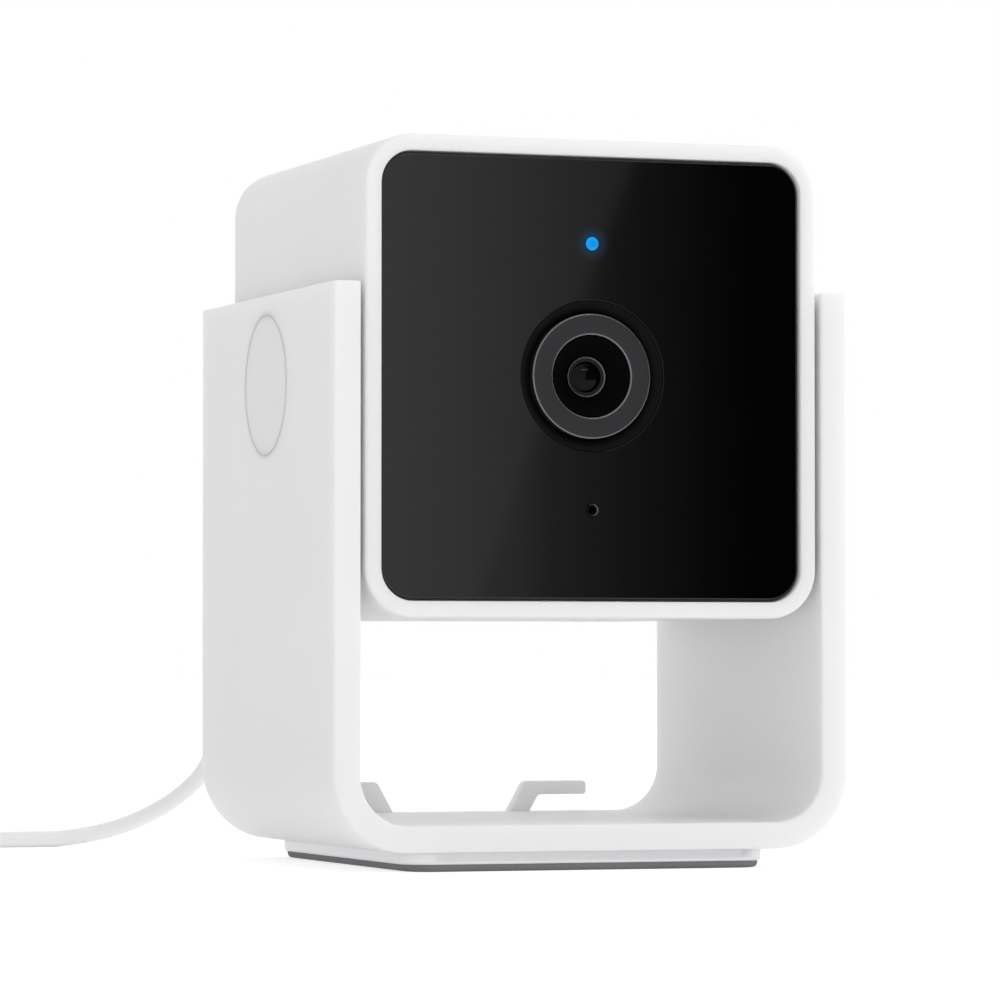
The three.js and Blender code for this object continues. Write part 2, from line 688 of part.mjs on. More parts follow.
function frontPanel() {
  const panel = frontBlock({
    width: CAVITY_WIDTH - 2 * PANEL_GAP,
    height: CAVITY_HEIGHT - 2 * PANEL_GAP,
    corner: CAVITY_CORNER - PANEL_GAP,
    front: PANEL_FRONT,
    back: PANEL_BACK,
    frontEdge: PANEL_EDGE,
  });
  const through = [PANEL_FRONT - OVERRUN, PANEL_BACK + OVERRUN];
  return cut(
    panel,
    rodY(WELL_RADIUS, ...through, 0, LENS_RISE, ROUND_SEGMENTS),
    rodY(STATUS_LIGHT_RADIUS + PANEL_GAP, ...through, 0, STATUS_LIGHT_Z),
    rodY(MIC_RING_RADIUS + PANEL_GAP, ...through, 0, MIC_Z),
  );
}

const standoffPlaces = () =>
  FOUR_CORNERS.map(([sx, sz]) => [sx * STANDOFF_OFFSET, LENS_RISE + sz * STANDOFF_OFFSET]);

// Chassis plate behind the panel, with the lens tube and the posts of the camera board
function frontCarrier() {
  const plate = frontBlock({
    width: CAVITY_WIDTH - 2 * FIT,
    height: CAVITY_HEIGHT - 2 * FIT,
    corner: CAVITY_CORNER - FIT,
    front: PANEL_BACK,
    back: CARRIER_BACK,
  });
  const tube = rodY(LENS_TUBE_RADIUS, PANEL_BACK, PANEL_BACK + LENS_TUBE_LENGTH, 0, LENS_RISE, ROUND_SEGMENTS);
  const standoffs = standoffPlaces().map(([x, z]) => rodY(STANDOFF_RADIUS, PANEL_BACK, CAMERA_BOARD_FRONT, x, z));
  const through = [PANEL_BACK - OVERRUN, CARRIER_BACK + OVERRUN];
  const windowHalf = IR_LED_SIZE / 2 + FIT;
  const windows = FOUR_CORNERS.map(([sx, sz]) =>
    box(
      [sx * IR_LED_X - windowHalf, through[0], sz * IR_LED_Z - windowHalf],
      [sx * IR_LED_X + windowHalf, through[1], sz * IR_LED_Z + windowHalf],
    ),
  );
  const screwHoles = FOUR_CORNERS.flatMap(([sx, sz]) => [
    rodY(CARRIER_SCREW_RADIUS + FIT, ...through, sx * POST_X, sz * POST_Z, SCREW_SEGMENTS),
    rodY(
      CARRIER_SCREW_HEAD_RADIUS + FIT,
      PANEL_BACK - OVERRUN,
      PANEL_BACK + CARRIER_SCREW_HEAD,
      sx * POST_X,
      sz * POST_Z,
    ),
  ]);
  const standoffPilots = standoffPlaces().map(([x, z]) => {
    const from = CAMERA_BOARD_FRONT - BOARD_SCREW_GRIP - FIT;
    const to = CAMERA_BOARD_FRONT + OVERRUN;
    return rodY(BOARD_SCREW_RADIUS + FIT, from, to, x, z, SCREW_SEGMENTS);
  });
  const micHalf = MIC_SIZE / 2 + FIT;
  return cut(
    joined(plate, tube, ...standoffs),
    rodY(WELL_RADIUS + FIT, PANEL_BACK - OVERRUN, CARRIER_BACK, 0, LENS_RISE, ROUND_SEGMENTS),
    rodY(LENS_RADIUS + FIT, through[0], PANEL_BACK + LENS_TUBE_LENGTH + OVERRUN, 0, LENS_RISE, ROUND_SEGMENTS),
    rodY(GUIDE_FLANGE_RADIUS + FIT, ...through, 0, STATUS_LIGHT_Z),
    box([-micHalf, through[0], MIC_Z - micHalf], [micHalf, through[1], MIC_Z + micHalf]),
    ...windows,
    ...screwHoles,
    ...standoffPilots,
  );
}

// Lens, from the sloping black wall of the well inwards
const lensSurround = () =>
  turned(
    [
      [LENS_RADIUS + FIT, PANEL_FRONT + SURROUND_RECESS + SURROUND_SLOPE],
      [WELL_RADIUS - PANEL_GAP, PANEL_FRONT + SURROUND_RECESS],
      [WELL_RADIUS - PANEL_GAP, CARRIER_BACK],
      [LENS_RADIUS + FIT, CARRIER_BACK],
    ],
    ROUND_SEGMENTS,
  ).translate(0, 0, LENS_RISE);

const lensBarrel = () =>
  turned(
    [
      [0, LENS_FRONT + CONE_DEPTH + GLASS_THICKNESS],
      [CONE_RADIUS, LENS_FRONT + CONE_DEPTH + GLASS_THICKNESS],
      [CONE_RADIUS, LENS_FRONT + LENS_RING_EDGE],
      [CONE_RADIUS + LENS_RING_EDGE, LENS_FRONT],
      [LENS_RADIUS - LENS_RING_EDGE, LENS_FRONT],
      [LENS_RADIUS, LENS_FRONT + LENS_RING_EDGE],
      [LENS_RADIUS, LENS_FRONT + LENS_HEAD_LENGTH],
      [LENS_THREAD_RADIUS, LENS_FRONT + LENS_HEAD_LENGTH],
      [LENS_THREAD_RADIUS, LENS_BACK],
      [0, LENS_BACK],
    ],
    ROUND_SEGMENTS,
  ).translate(0, 0, LENS_RISE);

const lensCone = () =>
  turned(
    [
      [CONE_FLOOR_RADIUS, LENS_FRONT + CONE_DEPTH],
      [CONE_RADIUS - FIT - CONE_WALL, LENS_FRONT + LENS_RING_EDGE],
      [CONE_RADIUS - FIT, LENS_FRONT + LENS_RING_EDGE],
      [CONE_RADIUS - FIT, LENS_FRONT + CONE_DEPTH + GLASS_THICKNESS],
      [CONE_FLOOR_RADIUS, LENS_FRONT + CONE_DEPTH + GLASS_THICKNESS],
    ],
    ROUND_SEGMENTS,
  ).translate(0, 0, LENS_RISE);

const lensRetainer = () =>
  turned(
    [
      [GLASS_RADIUS, LENS_FRONT + CONE_DEPTH],
      [CONE_FLOOR_RADIUS - PANEL_GAP, LENS_FRONT + CONE_DEPTH - LENS_RING_EDGE],
      [CONE_FLOOR_RADIUS - PANEL_GAP, LENS_FRONT + CONE_DEPTH + GLASS_THICKNESS],
      [GLASS_RADIUS, LENS_FRONT + CONE_DEPTH + GLASS_THICKNESS],
    ],
    ROUND_SEGMENTS / 2,
  ).translate(0, 0, LENS_RISE);

function lensGlass() {
  const rim = GLASS_RADIUS - PANEL_GAP;
  const sphere = (rim * rim + GLASS_DOME * GLASS_DOME) / (2 * GLASS_DOME);
  const top = LENS_FRONT + CONE_DEPTH;
  const widest = Math.asin(rim / sphere);
  const dome = Array.from({ length: EDGE_STEPS + 1 }, (_, i) => {
    const angle = (widest * i) / EDGE_STEPS;
    return [sphere * Math.sin(angle), top + sphere * (1 - Math.cos(angle))];
  });
  return turned(
    [...dome, [rim, top + GLASS_THICKNESS], [0, top + GLASS_THICKNESS]],
    ROUND_SEGMENTS / 2,
  ).translate(0, 0, LENS_RISE);
}

function lensHolder() {
  const tubeFront = PANEL_BACK + LENS_TUBE_LENGTH + FACE_GAP;
  const baseFront = CAMERA_BOARD_FRONT - HOLDER_BASE_DEPTH;
  const half = HOLDER_BASE / 2;
  const roomHalf = half - HOLDER_WALL;
  const tube = rodY(HOLDER_RADIUS, tubeFront, CAMERA_BOARD_FRONT - HOLDER_BASE_DEPTH / 2, 0, 0, ROUND_SEGMENTS / 2);
  const base = box([-half, baseFront, -half], [half, CAMERA_BOARD_FRONT, half]);
  const room = box([-roomHalf, LENS_BACK, -roomHalf], [roomHalf, CAMERA_BOARD_FRONT + OVERRUN, roomHalf]);
  const bore = rodY(LENS_THREAD_RADIUS + FIT, tubeFront - OVERRUN, LENS_BACK + OVERRUN, 0, 0, ROUND_SEGMENTS / 2);
  return cut(joined(tube, base), room, bore).translate(0, 0, LENS_RISE);
}

// Boards
const board = (size, corner, front, thickness) =>
  frontBlock({ width: size, height: size, corner, front, back: front + thickness });

function frontBoard() {
  const through = [CARRIER_BACK - OVERRUN, CARRIER_BACK + FRONT_BOARD_THICKNESS + OVERRUN];
  return cut(
    board(FRONT_BOARD_SIZE, FRONT_BOARD_CORNER, CARRIER_BACK, FRONT_BOARD_THICKNESS),
    rodY(LENS_TUBE_RADIUS + FIT, ...through, 0, LENS_RISE, ROUND_SEGMENTS),
    ...standoffPlaces().map(([x, z]) => rodY(STANDOFF_RADIUS + FIT, ...through, x, z)),
  );
}

// A square component that stands forward of the front board
const onFrontBoard = (width, height, thickness, x, z) =>
  box(
    [x - width / 2, CARRIER_BACK - thickness, z - height / 2],
    [x + width / 2, CARRIER_BACK, z + height / 2],
  );

const lightGuide = () =>
  turned([
    [0, PANEL_FRONT],
    [STATUS_LIGHT_RADIUS, PANEL_FRONT],
    [STATUS_LIGHT_RADIUS, PANEL_BACK],
    [GUIDE_FLANGE_RADIUS, PANEL_BACK],
    [GUIDE_FLANGE_RADIUS, PANEL_BACK + GUIDE_FLANGE],
    [0, PANEL_BACK + GUIDE_FLANGE],
  ]).translate(0, 0, STATUS_LIGHT_Z);

const micBoot = () =>
  turned([
    [MIC_BORE_RADIUS, PANEL_FRONT],
    [MIC_RING_RADIUS, PANEL_FRONT],
    [MIC_RING_RADIUS, PANEL_BACK],
    [MIC_FLANGE_RADIUS, PANEL_BACK],
    [MIC_FLANGE_RADIUS, PANEL_BACK + MIC_FLANGE],
    [MIC_BORE_RADIUS, PANEL_BACK + MIC_FLANGE],
  ]).translate(0, 0, MIC_Z);

const cameraScrewPlaces = { 1: FOUR_CORNERS[0], 2: FOUR_CORNERS[3] };

function cameraBoard() {
  return cut(
    board(CAMERA_BOARD_SIZE, BOARD_CORNER, CAMERA_BOARD_FRONT, CAMERA_BOARD_THICKNESS).translate(0, 0, LENS_RISE),
    ...standoffPlaces().map(([x, z]) => {
      const through = [CAMERA_BOARD_FRONT - OVERRUN, CAMERA_BOARD_BACK + OVERRUN];
      return rodY(BOARD_SCREW_RADIUS + FIT, ...through, x, z, SCREW_SEGMENTS);
    }),
  );
}

// A pan-head screw whose head rests at zero and whose shank runs along -Y
const panScrew = ({ radius, length, headRadius, head }) =>
  turned(
    [
      [0, -length],
      [radius, -length],
      [radius, 0],
      [headRadius, 0],
      [headRadius, head / 2],
      [headRadius - head / 2, head],
      [0, head],
    ],
    SCREW_SEGMENTS,
  );

const boardScrew = (thickness) =>
  panScrew({
    radius: BOARD_SCREW_RADIUS,
    length: thickness + BOARD_SCREW_GRIP,
    headRadius: BOARD_SCREW_HEAD_RADIUS,
    head: BOARD_SCREW_HEAD,
  });

const carrierScrew = ([sx, sz]) =>
  panScrew({
    radius: CARRIER_SCREW_RADIUS,
    length: CARRIER_SCREW_LENGTH,
    headRadius: CARRIER_SCREW_HEAD_RADIUS,
    head: CARRIER_SCREW_HEAD,
  })
    .rotateX(Math.PI)
    .translate(sx * POST_X, PANEL_BACK + CARRIER_SCREW_HEAD, sz * POST_Z);

const mainScrewPlaces = () => ({ 1: bossPlaces()[2], 2: bossPlaces()[1] });

function mainBoard() {
  const plate = block({
    width: MAIN_BOARD_WIDTH,
    height: MAIN_BOARD_DEPTH,
    corner: BOARD_CORNER,
    low: MAIN_BOARD_BOTTOM,
    high: MAIN_BOARD_TOP,
  }).translate(0, (MAIN_BOARD_FRONT + MAIN_BOARD_BACK) / 2, 0);
  const holes = bossPlaces().map(([x, y]) => {
    const through = [MAIN_BOARD_BOTTOM - OVERRUN, MAIN_BOARD_TOP + OVERRUN];
    return rodZ(BOARD_SCREW_RADIUS + FIT, ...through, x, y, SCREW_SEGMENTS);
  });
  return cut(plate, ...holes);
}

// A component that stands on the main board, by its middle
const onMainBoard = (width, depth, height, x, y) =>
  box(
    [x - width / 2, y - depth / 2, MAIN_BOARD_TOP],
    [x + width / 2, y + depth / 2, MAIN_BOARD_TOP + height],
  );

// A flat cable that lies on the back of the camera board, turns down and lies on the main board
function cameraRibbon() {
  const away = RIBBON_THICKNESS / 2;
  const onCamera = new THREE.Vector2(CAMERA_BOARD_BACK + away, LENS_RISE - CAMERA_BOARD_SIZE / 2 + 2 * RIBBON_LAP);
  const onMain = new THREE.Vector2(MAIN_BOARD_FRONT + 2 * RIBBON_LAP, MAIN_BOARD_TOP + away);
  const leaves = new THREE.Vector2(onCamera.x, onCamera.y - RIBBON_LAP);
  const lands = new THREE.Vector2(onMain.x - RIBBON_LAP, onMain.y);
  const bend = new THREE.CubicBezierCurve(
    leaves,
    new THREE.Vector2(leaves.x, (leaves.y + lands.y) / 2),
    new THREE.Vector2(leaves.x, lands.y),
    lands,
  );
  const line = [onCamera, ...bend.getPoints(2 * EDGE_STEPS), onMain];
  const side = (sign) =>
    line.map((point, i) => {
      const along = line[Math.min(i + 1, line.length - 1)].clone().sub(line[Math.max(i - 1, 0)]).normalize();
      return new THREE.Vector2(point.x - sign * away * along.y, point.y + sign * away * along.x);
    });
  const shape = new THREE.Shape([...side(1), ...side(-1).reverse()]);
  const geometry = new THREE.ExtrudeGeometry(shape, { depth: RIBBON_WIDTH, bevelEnabled: false });
  return geometry.translate(0, 0, -RIBBON_WIDTH / 2).rotateX(Math.PI / 2).rotateZ(Math.PI / 2);
}

// Socket, button and switch at the back
function usbSocket() {
  const front = SOCKET_BACK - SOCKET_LENGTH;
  const shell = frontBlock({
    width: SOCKET_WIDTH,
    height: SOCKET_HEIGHT,
    corner: SOCKET_CORNER,
    front,
    back: SOCKET_BACK,
  });
  const mouth = frontBlock({
    width: SOCKET_WIDTH - 2 * SOCKET_WALL,
    height: SOCKET_HEIGHT - 2 * SOCKET_WALL,
    corner: SOCKET_CORNER - SOCKET_WALL,
    front: front + 2 * SOCKET_WALL,
    back: SOCKET_BACK + OVERRUN,
  });
  return cut(shell, mouth).translate(SOCKET_X, 0, SOCKET_Z);
}

const buttonStemEnd = () => CAVITY_BACK - BUTTON_FLANGE - BUTTON_STEM;

const setupButton = () =>
  turned([
    [0, buttonStemEnd()],
    [BUTTON_STEM_RADIUS, buttonStemEnd()],
    [BUTTON_STEM_RADIUS, CAVITY_BACK - BUTTON_FLANGE],
    [BUTTON_FLANGE_RADIUS, CAVITY_BACK - BUTTON_FLANGE],
    [BUTTON_FLANGE_RADIUS, CAVITY_BACK],
    [BUTTON_RADIUS, CAVITY_BACK],
    [BUTTON_RADIUS, HEAD_BACK + BUTTON_PROUD / 2],
    [BUTTON_RADIUS - BUTTON_PROUD / 2, HEAD_BACK + BUTTON_PROUD],
    [0, HEAD_BACK + BUTTON_PROUD],
  ]).translate(BUTTON_X, 0, BUTTON_Z);

const setupSwitch = () =>
  onMainBoard(
    SWITCH_WIDTH,
    SWITCH_DEPTH,
    SWITCH_HEIGHT,
    BUTTON_X,
    buttonStemEnd() - BUTTON_TRAVEL - FIT - SWITCH_DEPTH / 2,
  );

// Speaker, its gasket, and the aerial
const speakerGasket = () =>
  turned(
    [
      [SPEAKER_RADIUS - GASKET_WIDTH, CAVITY_BACK - GASKET_THICKNESS],
      [SPEAKER_RADIUS, CAVITY_BACK - GASKET_THICKNESS],
      [SPEAKER_RADIUS, CAVITY_BACK],
      [SPEAKER_RADIUS - GASKET_WIDTH, CAVITY_BACK],
    ],
    ROUND_SEGMENTS / 2,
  ).translate(0, 0, SPEAKER_HEIGHT);

function speaker() {
  const back = CAVITY_BACK - GASKET_THICKNESS;
  const frame = back - SPEAKER_FRAME;
  const coneRadius = SPEAKER_RADIUS - GASKET_WIDTH;
  return turned(
    [
      [0, frame - SPEAKER_MAGNET],
      [SPEAKER_MAGNET_RADIUS, frame - SPEAKER_MAGNET],
      [SPEAKER_MAGNET_RADIUS, frame],
      [SPEAKER_RADIUS, frame],
      [SPEAKER_RADIUS, back],
      [coneRadius, back],
      [coneRadius / 2, back - SPEAKER_FRAME / 2],
      [0, back - SPEAKER_FRAME / 2],
    ],
    ROUND_SEGMENTS / 2,
  ).translate(0, 0, SPEAKER_HEIGHT);
}

const antenna = () =>
  box(
    [CAVITY_WIDTH / 2 - ANTENNA_THICKNESS, ANTENNA_Y - ANTENNA_WIDTH / 2, -ANTENNA_LENGTH / 2],
    [CAVITY_WIDTH / 2, ANTENNA_Y + ANTENNA_WIDTH / 2, ANTENNA_LENGTH / 2],
  );

// A ribbed, tapering boot along Y from a plug's end, cut square at its tip
function boot(from) {
  const profile = [[0, from - PLUG_EDGE]];
  const pitch = BOOT_LENGTH / BOOT_RIBS;
  for (let rib = 0; rib < BOOT_RIBS; rib += 1) {
    const shareAlong = rib / BOOT_RIBS;
    const radius = BOOT_RADIUS + (BOOT_TIP_RADIUS - BOOT_RADIUS) * shareAlong;
    const start = from + pitch * rib;
    profile.push([radius, rib === 0 ? from - PLUG_EDGE : start]);
    profile.push([radius, start + pitch / 2]);
    profile.push([radius - BOOT_GROOVE, start + pitch / 2]);
    profile.push([radius - BOOT_GROOVE, start + pitch]);
  }
  profile.push([0, from + BOOT_LENGTH]);
  return turned(profile);
}

const PLUG_FRONT = HEAD_BACK + FACE_GAP;
const PLUG_BACK = PLUG_FRONT + PLUG_LENGTH;

const powerPlug = () =>
  joined(
    frontBlock({
      width: PLUG_WIDTH,
      height: PLUG_HEIGHT,
      corner: PLUG_CORNER,
      front: PLUG_FRONT,
      back: PLUG_BACK,
      frontEdge: PLUG_EDGE / 2,
      backEdge: PLUG_EDGE,
    }),
    boot(PLUG_BACK),
  ).translate(SOCKET_X, 0, SOCKET_Z);

const plugContact = () =>
  frontBlock({
    width: CONTACT_WIDTH,
    height: CONTACT_HEIGHT,
    corner: CONTACT_HEIGHT / 4,
    front: SOCKET_BACK - CONTACT_INSERTED,
    back: PLUG_FRONT,
  }).translate(SOCKET_X, 0, SOCKET_Z);

// The lead's route: out of the boot, down behind the left arm, round to the left and along the table
const LEAD_START = new THREE.Vector3(SOCKET_X, PLUG_BACK + BOOT_LENGTH + FACE_GAP, PIVOT_Z + SOCKET_Z);
const COIL_CENTRE_X = -79;
const LEAD_LANDS_Y = 64.65;
const COIL_BOTTOM = TIE_THICKNESS + FIT;
const CORD_PITCH = 2 * CORD_RADIUS + COIL_SPACE;
const COIL_HALF_WIDTH = (CORD_PITCH * COIL_LOOPS) / COIL_LAYERS / 2;
const COIL_OUTER_RADIUS = COIL_MIDDLE_RADIUS + COIL_HALF_WIDTH;
const COIL_INNER_RADIUS = COIL_MIDDLE_RADIUS - COIL_HALF_WIDTH;
const COIL_CENTRE = new THREE.Vector3(COIL_CENTRE_X, LEAD_LANDS_Y - COIL_OUTER_RADIUS, 0);
const COIL_START_Z = COIL_BOTTOM + CORD_RADIUS;
const STRAIGHT_END = 2 * CORD_RADIUS;
const LEAD_ROUTE = [
  [SOCKET_X, 47.2, 34.4],
  [SOCKET_X - 0.7, 50.4, 32.1],
  [SOCKET_X - 1.8, 52.6, 27.4],
  [SOCKET_X - 3.2, 54.1, 21.4],
  [SOCKET_X - 5.1, 55.6, 14.8],
  [SOCKET_X - 7.6, 57.3, 9],
  [SOCKET_X - 10.7, 60.2, 5.6],
  [SOCKET_X - 14.6, 62.8, 3.2],
  [SOCKET_X - 18.8, 64.2, 1.8],
  [SOCKET_X - 24.5, LEAD_LANDS_Y, CORD_RADIUS],
  [-44, LEAD_LANDS_Y, CORD_RADIUS],
  [-52, LEAD_LANDS_Y, CORD_RADIUS],
  [-61, LEAD_LANDS_Y, CORD_RADIUS],
  [-69, LEAD_LANDS_Y, COIL_START_Z],
];

// A cord along a smooth curve through the points, a many-sided tube with flat ends
function cordAlong(points, steps) {
  const section = new THREE.Shape(
    Array.from({ length: CORD_SIDES }, (_, i) => {
      const angle = (2 * Math.PI * (i + 1 / 2)) / CORD_SIDES;
      return new THREE.Vector2(CORD_RADIUS * Math.cos(angle), CORD_RADIUS * Math.sin(angle));
    }),
  );
  const curve = new THREE.CatmullRomCurve3(points, false, "centripetal");
  const geometry = new THREE.ExtrudeGeometry(section, { steps, extrudePath: curve, bevelEnabled: false });
  return { geometry, length: curve.getLength() };
}

function powerLead() {
  const coilStart = new THREE.Vector3(COIL_CENTRE.x + STRAIGHT_END + FACE_GAP, LEAD_LANDS_Y, COIL_START_Z);
  const route = LEAD_ROUTE.map(([x, y, z]) => new THREE.Vector3(x, y, z));
  return cordAlong([LEAD_START, ...route, coilStart], LEAD_STEPS);
}

// The coil: flat spirals that run in and out again, each climbing a layer where it turns back
function coilPoints() {
  const loopsPerLayer = COIL_LOOPS / COIL_LAYERS;
  const count = Math.round(COIL_LOOPS * COIL_STEPS);
  const points = [];
  for (let i = 0; i <= count; i += 1) {
    const loops = (COIL_LOOPS * i) / count;
    const layer = Math.min(Math.floor(loops / loopsPerLayer), COIL_LAYERS - 1);
    const inLayer = loops / loopsPerLayer - layer;
    const inwards = layer % 2 === 0 ? inLayer : 1 - inLayer;
    const radius = COIL_OUTER_RADIUS - 2 * COIL_HALF_WIDTH * inwards;
    let climbed = 0;
    for (let turn = 1; turn < COIL_LAYERS; turn += 1) {
      climbed += THREE.MathUtils.smoothstep(loops - turn * loopsPerLayer, -1 / 4, 1 / 4);
    }
    const angle = Math.PI / 2 + 2 * Math.PI * loops;
    const height = COIL_START_Z + CORD_PITCH * climbed;
    points.push(new THREE.Vector3(radius * Math.cos(angle), radius * Math.sin(angle), height).add(COIL_CENTRE));
  }
  const before = points[0].clone().add(new THREE.Vector3(STRAIGHT_END, 0, 0));
  const after = points.at(-1).clone().add(new THREE.Vector3(0, -STRAIGHT_END, 0));
  return [before, ...points, after];
}

// A tube through the points as one closed skin, its section kept level
function tubeThrough(points, radius, sides) {
  const positions = [];
  const index = [];
  const up = new THREE.Vector3(0, 0, 1);
  points.forEach((point, i) => {
    const along = points[Math.min(i + 1, points.length - 1)].clone().sub(points[Math.max(i - 1, 0)]).normalize();
    const across = new THREE.Vector3().crossVectors(along, up).normalize();
    const over = new THREE.Vector3().crossVectors(across, along);
    for (let side = 0; side < sides; side += 1) {
      const angle = (2 * Math.PI * side) / sides;
      const place = point.clone().addScaledVector(across, radius * Math.cos(angle));
      place.addScaledVector(over, radius * Math.sin(angle));
      positions.push(...place.toArray());
    }
  });
  for (let ring = 0; ring < points.length - 1; ring += 1) {
    for (let side = 0; side < sides; side += 1) {
      const a = ring * sides + side;
      const b = ring * sides + ((side + 1) % sides);
      index.push(a, a + sides, b + sides, a, b + sides, b);
    }
  }
  const last = (points.length - 1) * sides;
  for (let side = 1; side < sides - 1; side += 1) {
    index.push(0, side, side + 1);
    index.push(last, last + side + 1, last + side);
  }
  const geometry = new THREE.BufferGeometry();
  geometry.setAttribute("position", new THREE.Float32BufferAttribute(positions, 3));
  geometry.setIndex(index);
  return geometry;
}

const lengthOf = (points) =>
  points.slice(1).reduce((sum, point, i) => sum + point.distanceTo(points[i]), 0);

// The least gap between one turn's surface and another's, half a loop or more apart
function leastGap(points) {
  let least = Infinity;
  for (let i = 0; i < points.length; i += 1) {
    for (let j = i + COIL_STEPS / 2; j < points.length; j += 1) {
      least = Math.min(least, points[i].distanceTo(points[j]));
    }
  }
  return least - 2 * CORD_RADIUS;
}

// A band round the bundle of turns, standing on the table
function leadTie() {
  const width = 2 * (COIL_HALF_WIDTH + CORD_RADIUS + FACE_GAP);
  const height = CORD_PITCH * (COIL_LAYERS - 1) + 2 * CORD_RADIUS + 2 * FIT;
  const ring = (grown) => ({
    width: width + 2 * grown,
    height: height + 2 * grown,
    corner: CORD_RADIUS + grown,
  });
  const band = frontBlock({ ...ring(TIE_THICKNESS), front: -TIE_WIDTH / 2, back: TIE_WIDTH / 2 });
  const hole = frontBlock({ ...ring(0), front: -TIE_WIDTH / 2 - OVERRUN, back: TIE_WIDTH / 2 + OVERRUN });
  const angle = THREE.MathUtils.degToRad(TIE_ANGLE_DEG);
  return cut(band, hole)
    .translate(COIL_MIDDLE_RADIUS, 0, TIE_THICKNESS + height / 2)
    .rotateZ(angle)
    .translate(COIL_CENTRE.x, COIL_CENTRE.y, 0);
}

// The far end: a short stretch off the coil's top turn, and the supply plug lying flat on the table
const TAIL_X = COIL_CENTRE.x - COIL_OUTER_RADIUS;
const COIL_TOP_Z = COIL_START_Z + CORD_PITCH * (COIL_LAYERS - 1);
const TAIL_START_Y = COIL_CENTRE.y - STRAIGHT_END - FACE_GAP;
const TAIL_LENGTH = 27;
const SUPPLY_BACK = TAIL_START_Y - TAIL_LENGTH - FACE_GAP - BOOT_LENGTH;
const SUPPLY_FRONT = SUPPLY_BACK - SUPPLY_LENGTH;
const TAIL_SHARES = [
  [0, 1],
  [0.15, 1],
  [0.35, 0.97],
  [0.55, 0.62],
  [0.75, 0.14],
  [0.88, 0],
  [1, 0],
];

function leadTail() {
  const plugZ = SUPPLY_HEIGHT / 2;
  const points = TAIL_SHARES.map(([alongShare, heightShare]) => {
    const y = TAIL_START_Y - TAIL_LENGTH * alongShare;
    return new THREE.Vector3(TAIL_X, y, plugZ + (COIL_TOP_Z - plugZ) * heightShare);
  });
  return cordAlong(points, TAIL_STEPS);
}

const supplyPlug = () =>
  joined(
    frontBlock({
      width: SUPPLY_WIDTH,
      height: SUPPLY_HEIGHT,
      corner: SUPPLY_CORNER,
      front: SUPPLY_FRONT,
      back: SUPPLY_BACK,
      frontEdge: PLUG_EDGE / 2,
      backEdge: PLUG_EDGE,
    }),
    boot(SUPPLY_BACK),
  ).translate(TAIL_X, 0, SUPPLY_HEIGHT / 2);

function supplyContact() {
  const size = { width: SUPPLY_CONTACT_WIDTH, height: SUPPLY_CONTACT_HEIGHT };
  const front = SUPPLY_FRONT - SUPPLY_CONTACT_LENGTH;
  const sleeve = frontBlock({ ...size, corner: SOCKET_WALL, front, back: SUPPLY_FRONT });
  const half = SUPPLY_CONTACT_WIDTH / 2 - SOCKET_WALL;
  const top = SUPPLY_CONTACT_HEIGHT / 2 - SOCKET_WALL;
  const mouth = box([-half, front - OVERRUN, 0], [half, SUPPLY_FRONT - 2 * SOCKET_WALL, top]);
  return cut(sleeve, mouth).translate(TAIL_X, 0, SUPPLY_HEIGHT / 2);
}

// Finishes
const finish = (color, roughness, metalness = 0) =>
  new THREE.MeshStandardMaterial({ color, roughness, metalness, flatShading: true });
const whitePlastic = () => finish(0xf1f0f1, 0.45);
const blackGloss = () => finish(0x0a0a0b, 0.08);
const blackMatt = () => finish(0x151516, 0.6);
const greyRing = () => finish(0x3a3a3c, 0.35);
const steel = () => finish(0xc9c9cb, 0.35, 1);
const brass = () => finish(0xb9995a, 0.35, 1);
const rubber = () => finish(0x57575a, 0.85);
const boardGreen = () => finish(0x1f5a3c, 0.55);
const glass = () => finish(0x101a26, 0.03);
const acetal = () => finish(0xe6e4dc, 0.5);
const blueLight = () => finish(0x12a0f0, 0.3);

// The assembly
const camera = new THREE.Group();
const stand = new THREE.Group();
const head = new THREE.Group();
const lead = new THREE.Group();
head.position.z = PIVOT_Z;
camera.add(stand, head, lead);

function add(parent, name, geometry, material) {
  const mesh = new THREE.Mesh(geometry, material);
  mesh.name = name;
  parent.add(mesh);
  return mesh;
}

add(stand, "yoke", yoke(), whitePlastic());
add(stand, "base_plate", basePlate(), steel());
add(stand, "foot_pad", footPad(), rubber());
add(head, "head_shell", headShell(), whitePlastic());
add(head, "front_panel", frontPanel(), blackGloss());
add(head, "front_carrier", frontCarrier(), blackMatt());
add(head, "lens_surround", lensSurround(), blackMatt());
add(head, "lens_barrel", lensBarrel(), greyRing());
add(head, "lens_cone", lensCone(), blackMatt());
add(head, "lens_retainer", lensRetainer(), greyRing());
add(head, "lens_glass", lensGlass(), glass());
add(head, "lens_holder", lensHolder(), blackMatt());
add(head, "front_board", frontBoard(), boardGreen());
add(head, "light_guide", lightGuide(), blueLight());
add(head, "mic_boot", micBoot(), rubber());
add(head, "camera_board", cameraBoard(), boardGreen());
add(head, "main_board", mainBoard(), boardGreen());
add(head, "camera_ribbon", cameraRibbon(), acetal());
add(head, "usb_socket", usbSocket(), steel());
add(head, "setup_button", setupButton(), whitePlastic());
add(head, "setup_switch", setupSwitch(), blackMatt());
add(head, "speaker", speaker(), blackMatt());
add(head, "speaker_gasket", speakerGasket(), rubber());
add(head, "antenna", antenna(), brass());
add(head, "power_plug", powerPlug(), whitePlastic());
add(head, "plug_contact", plugContact(), steel());

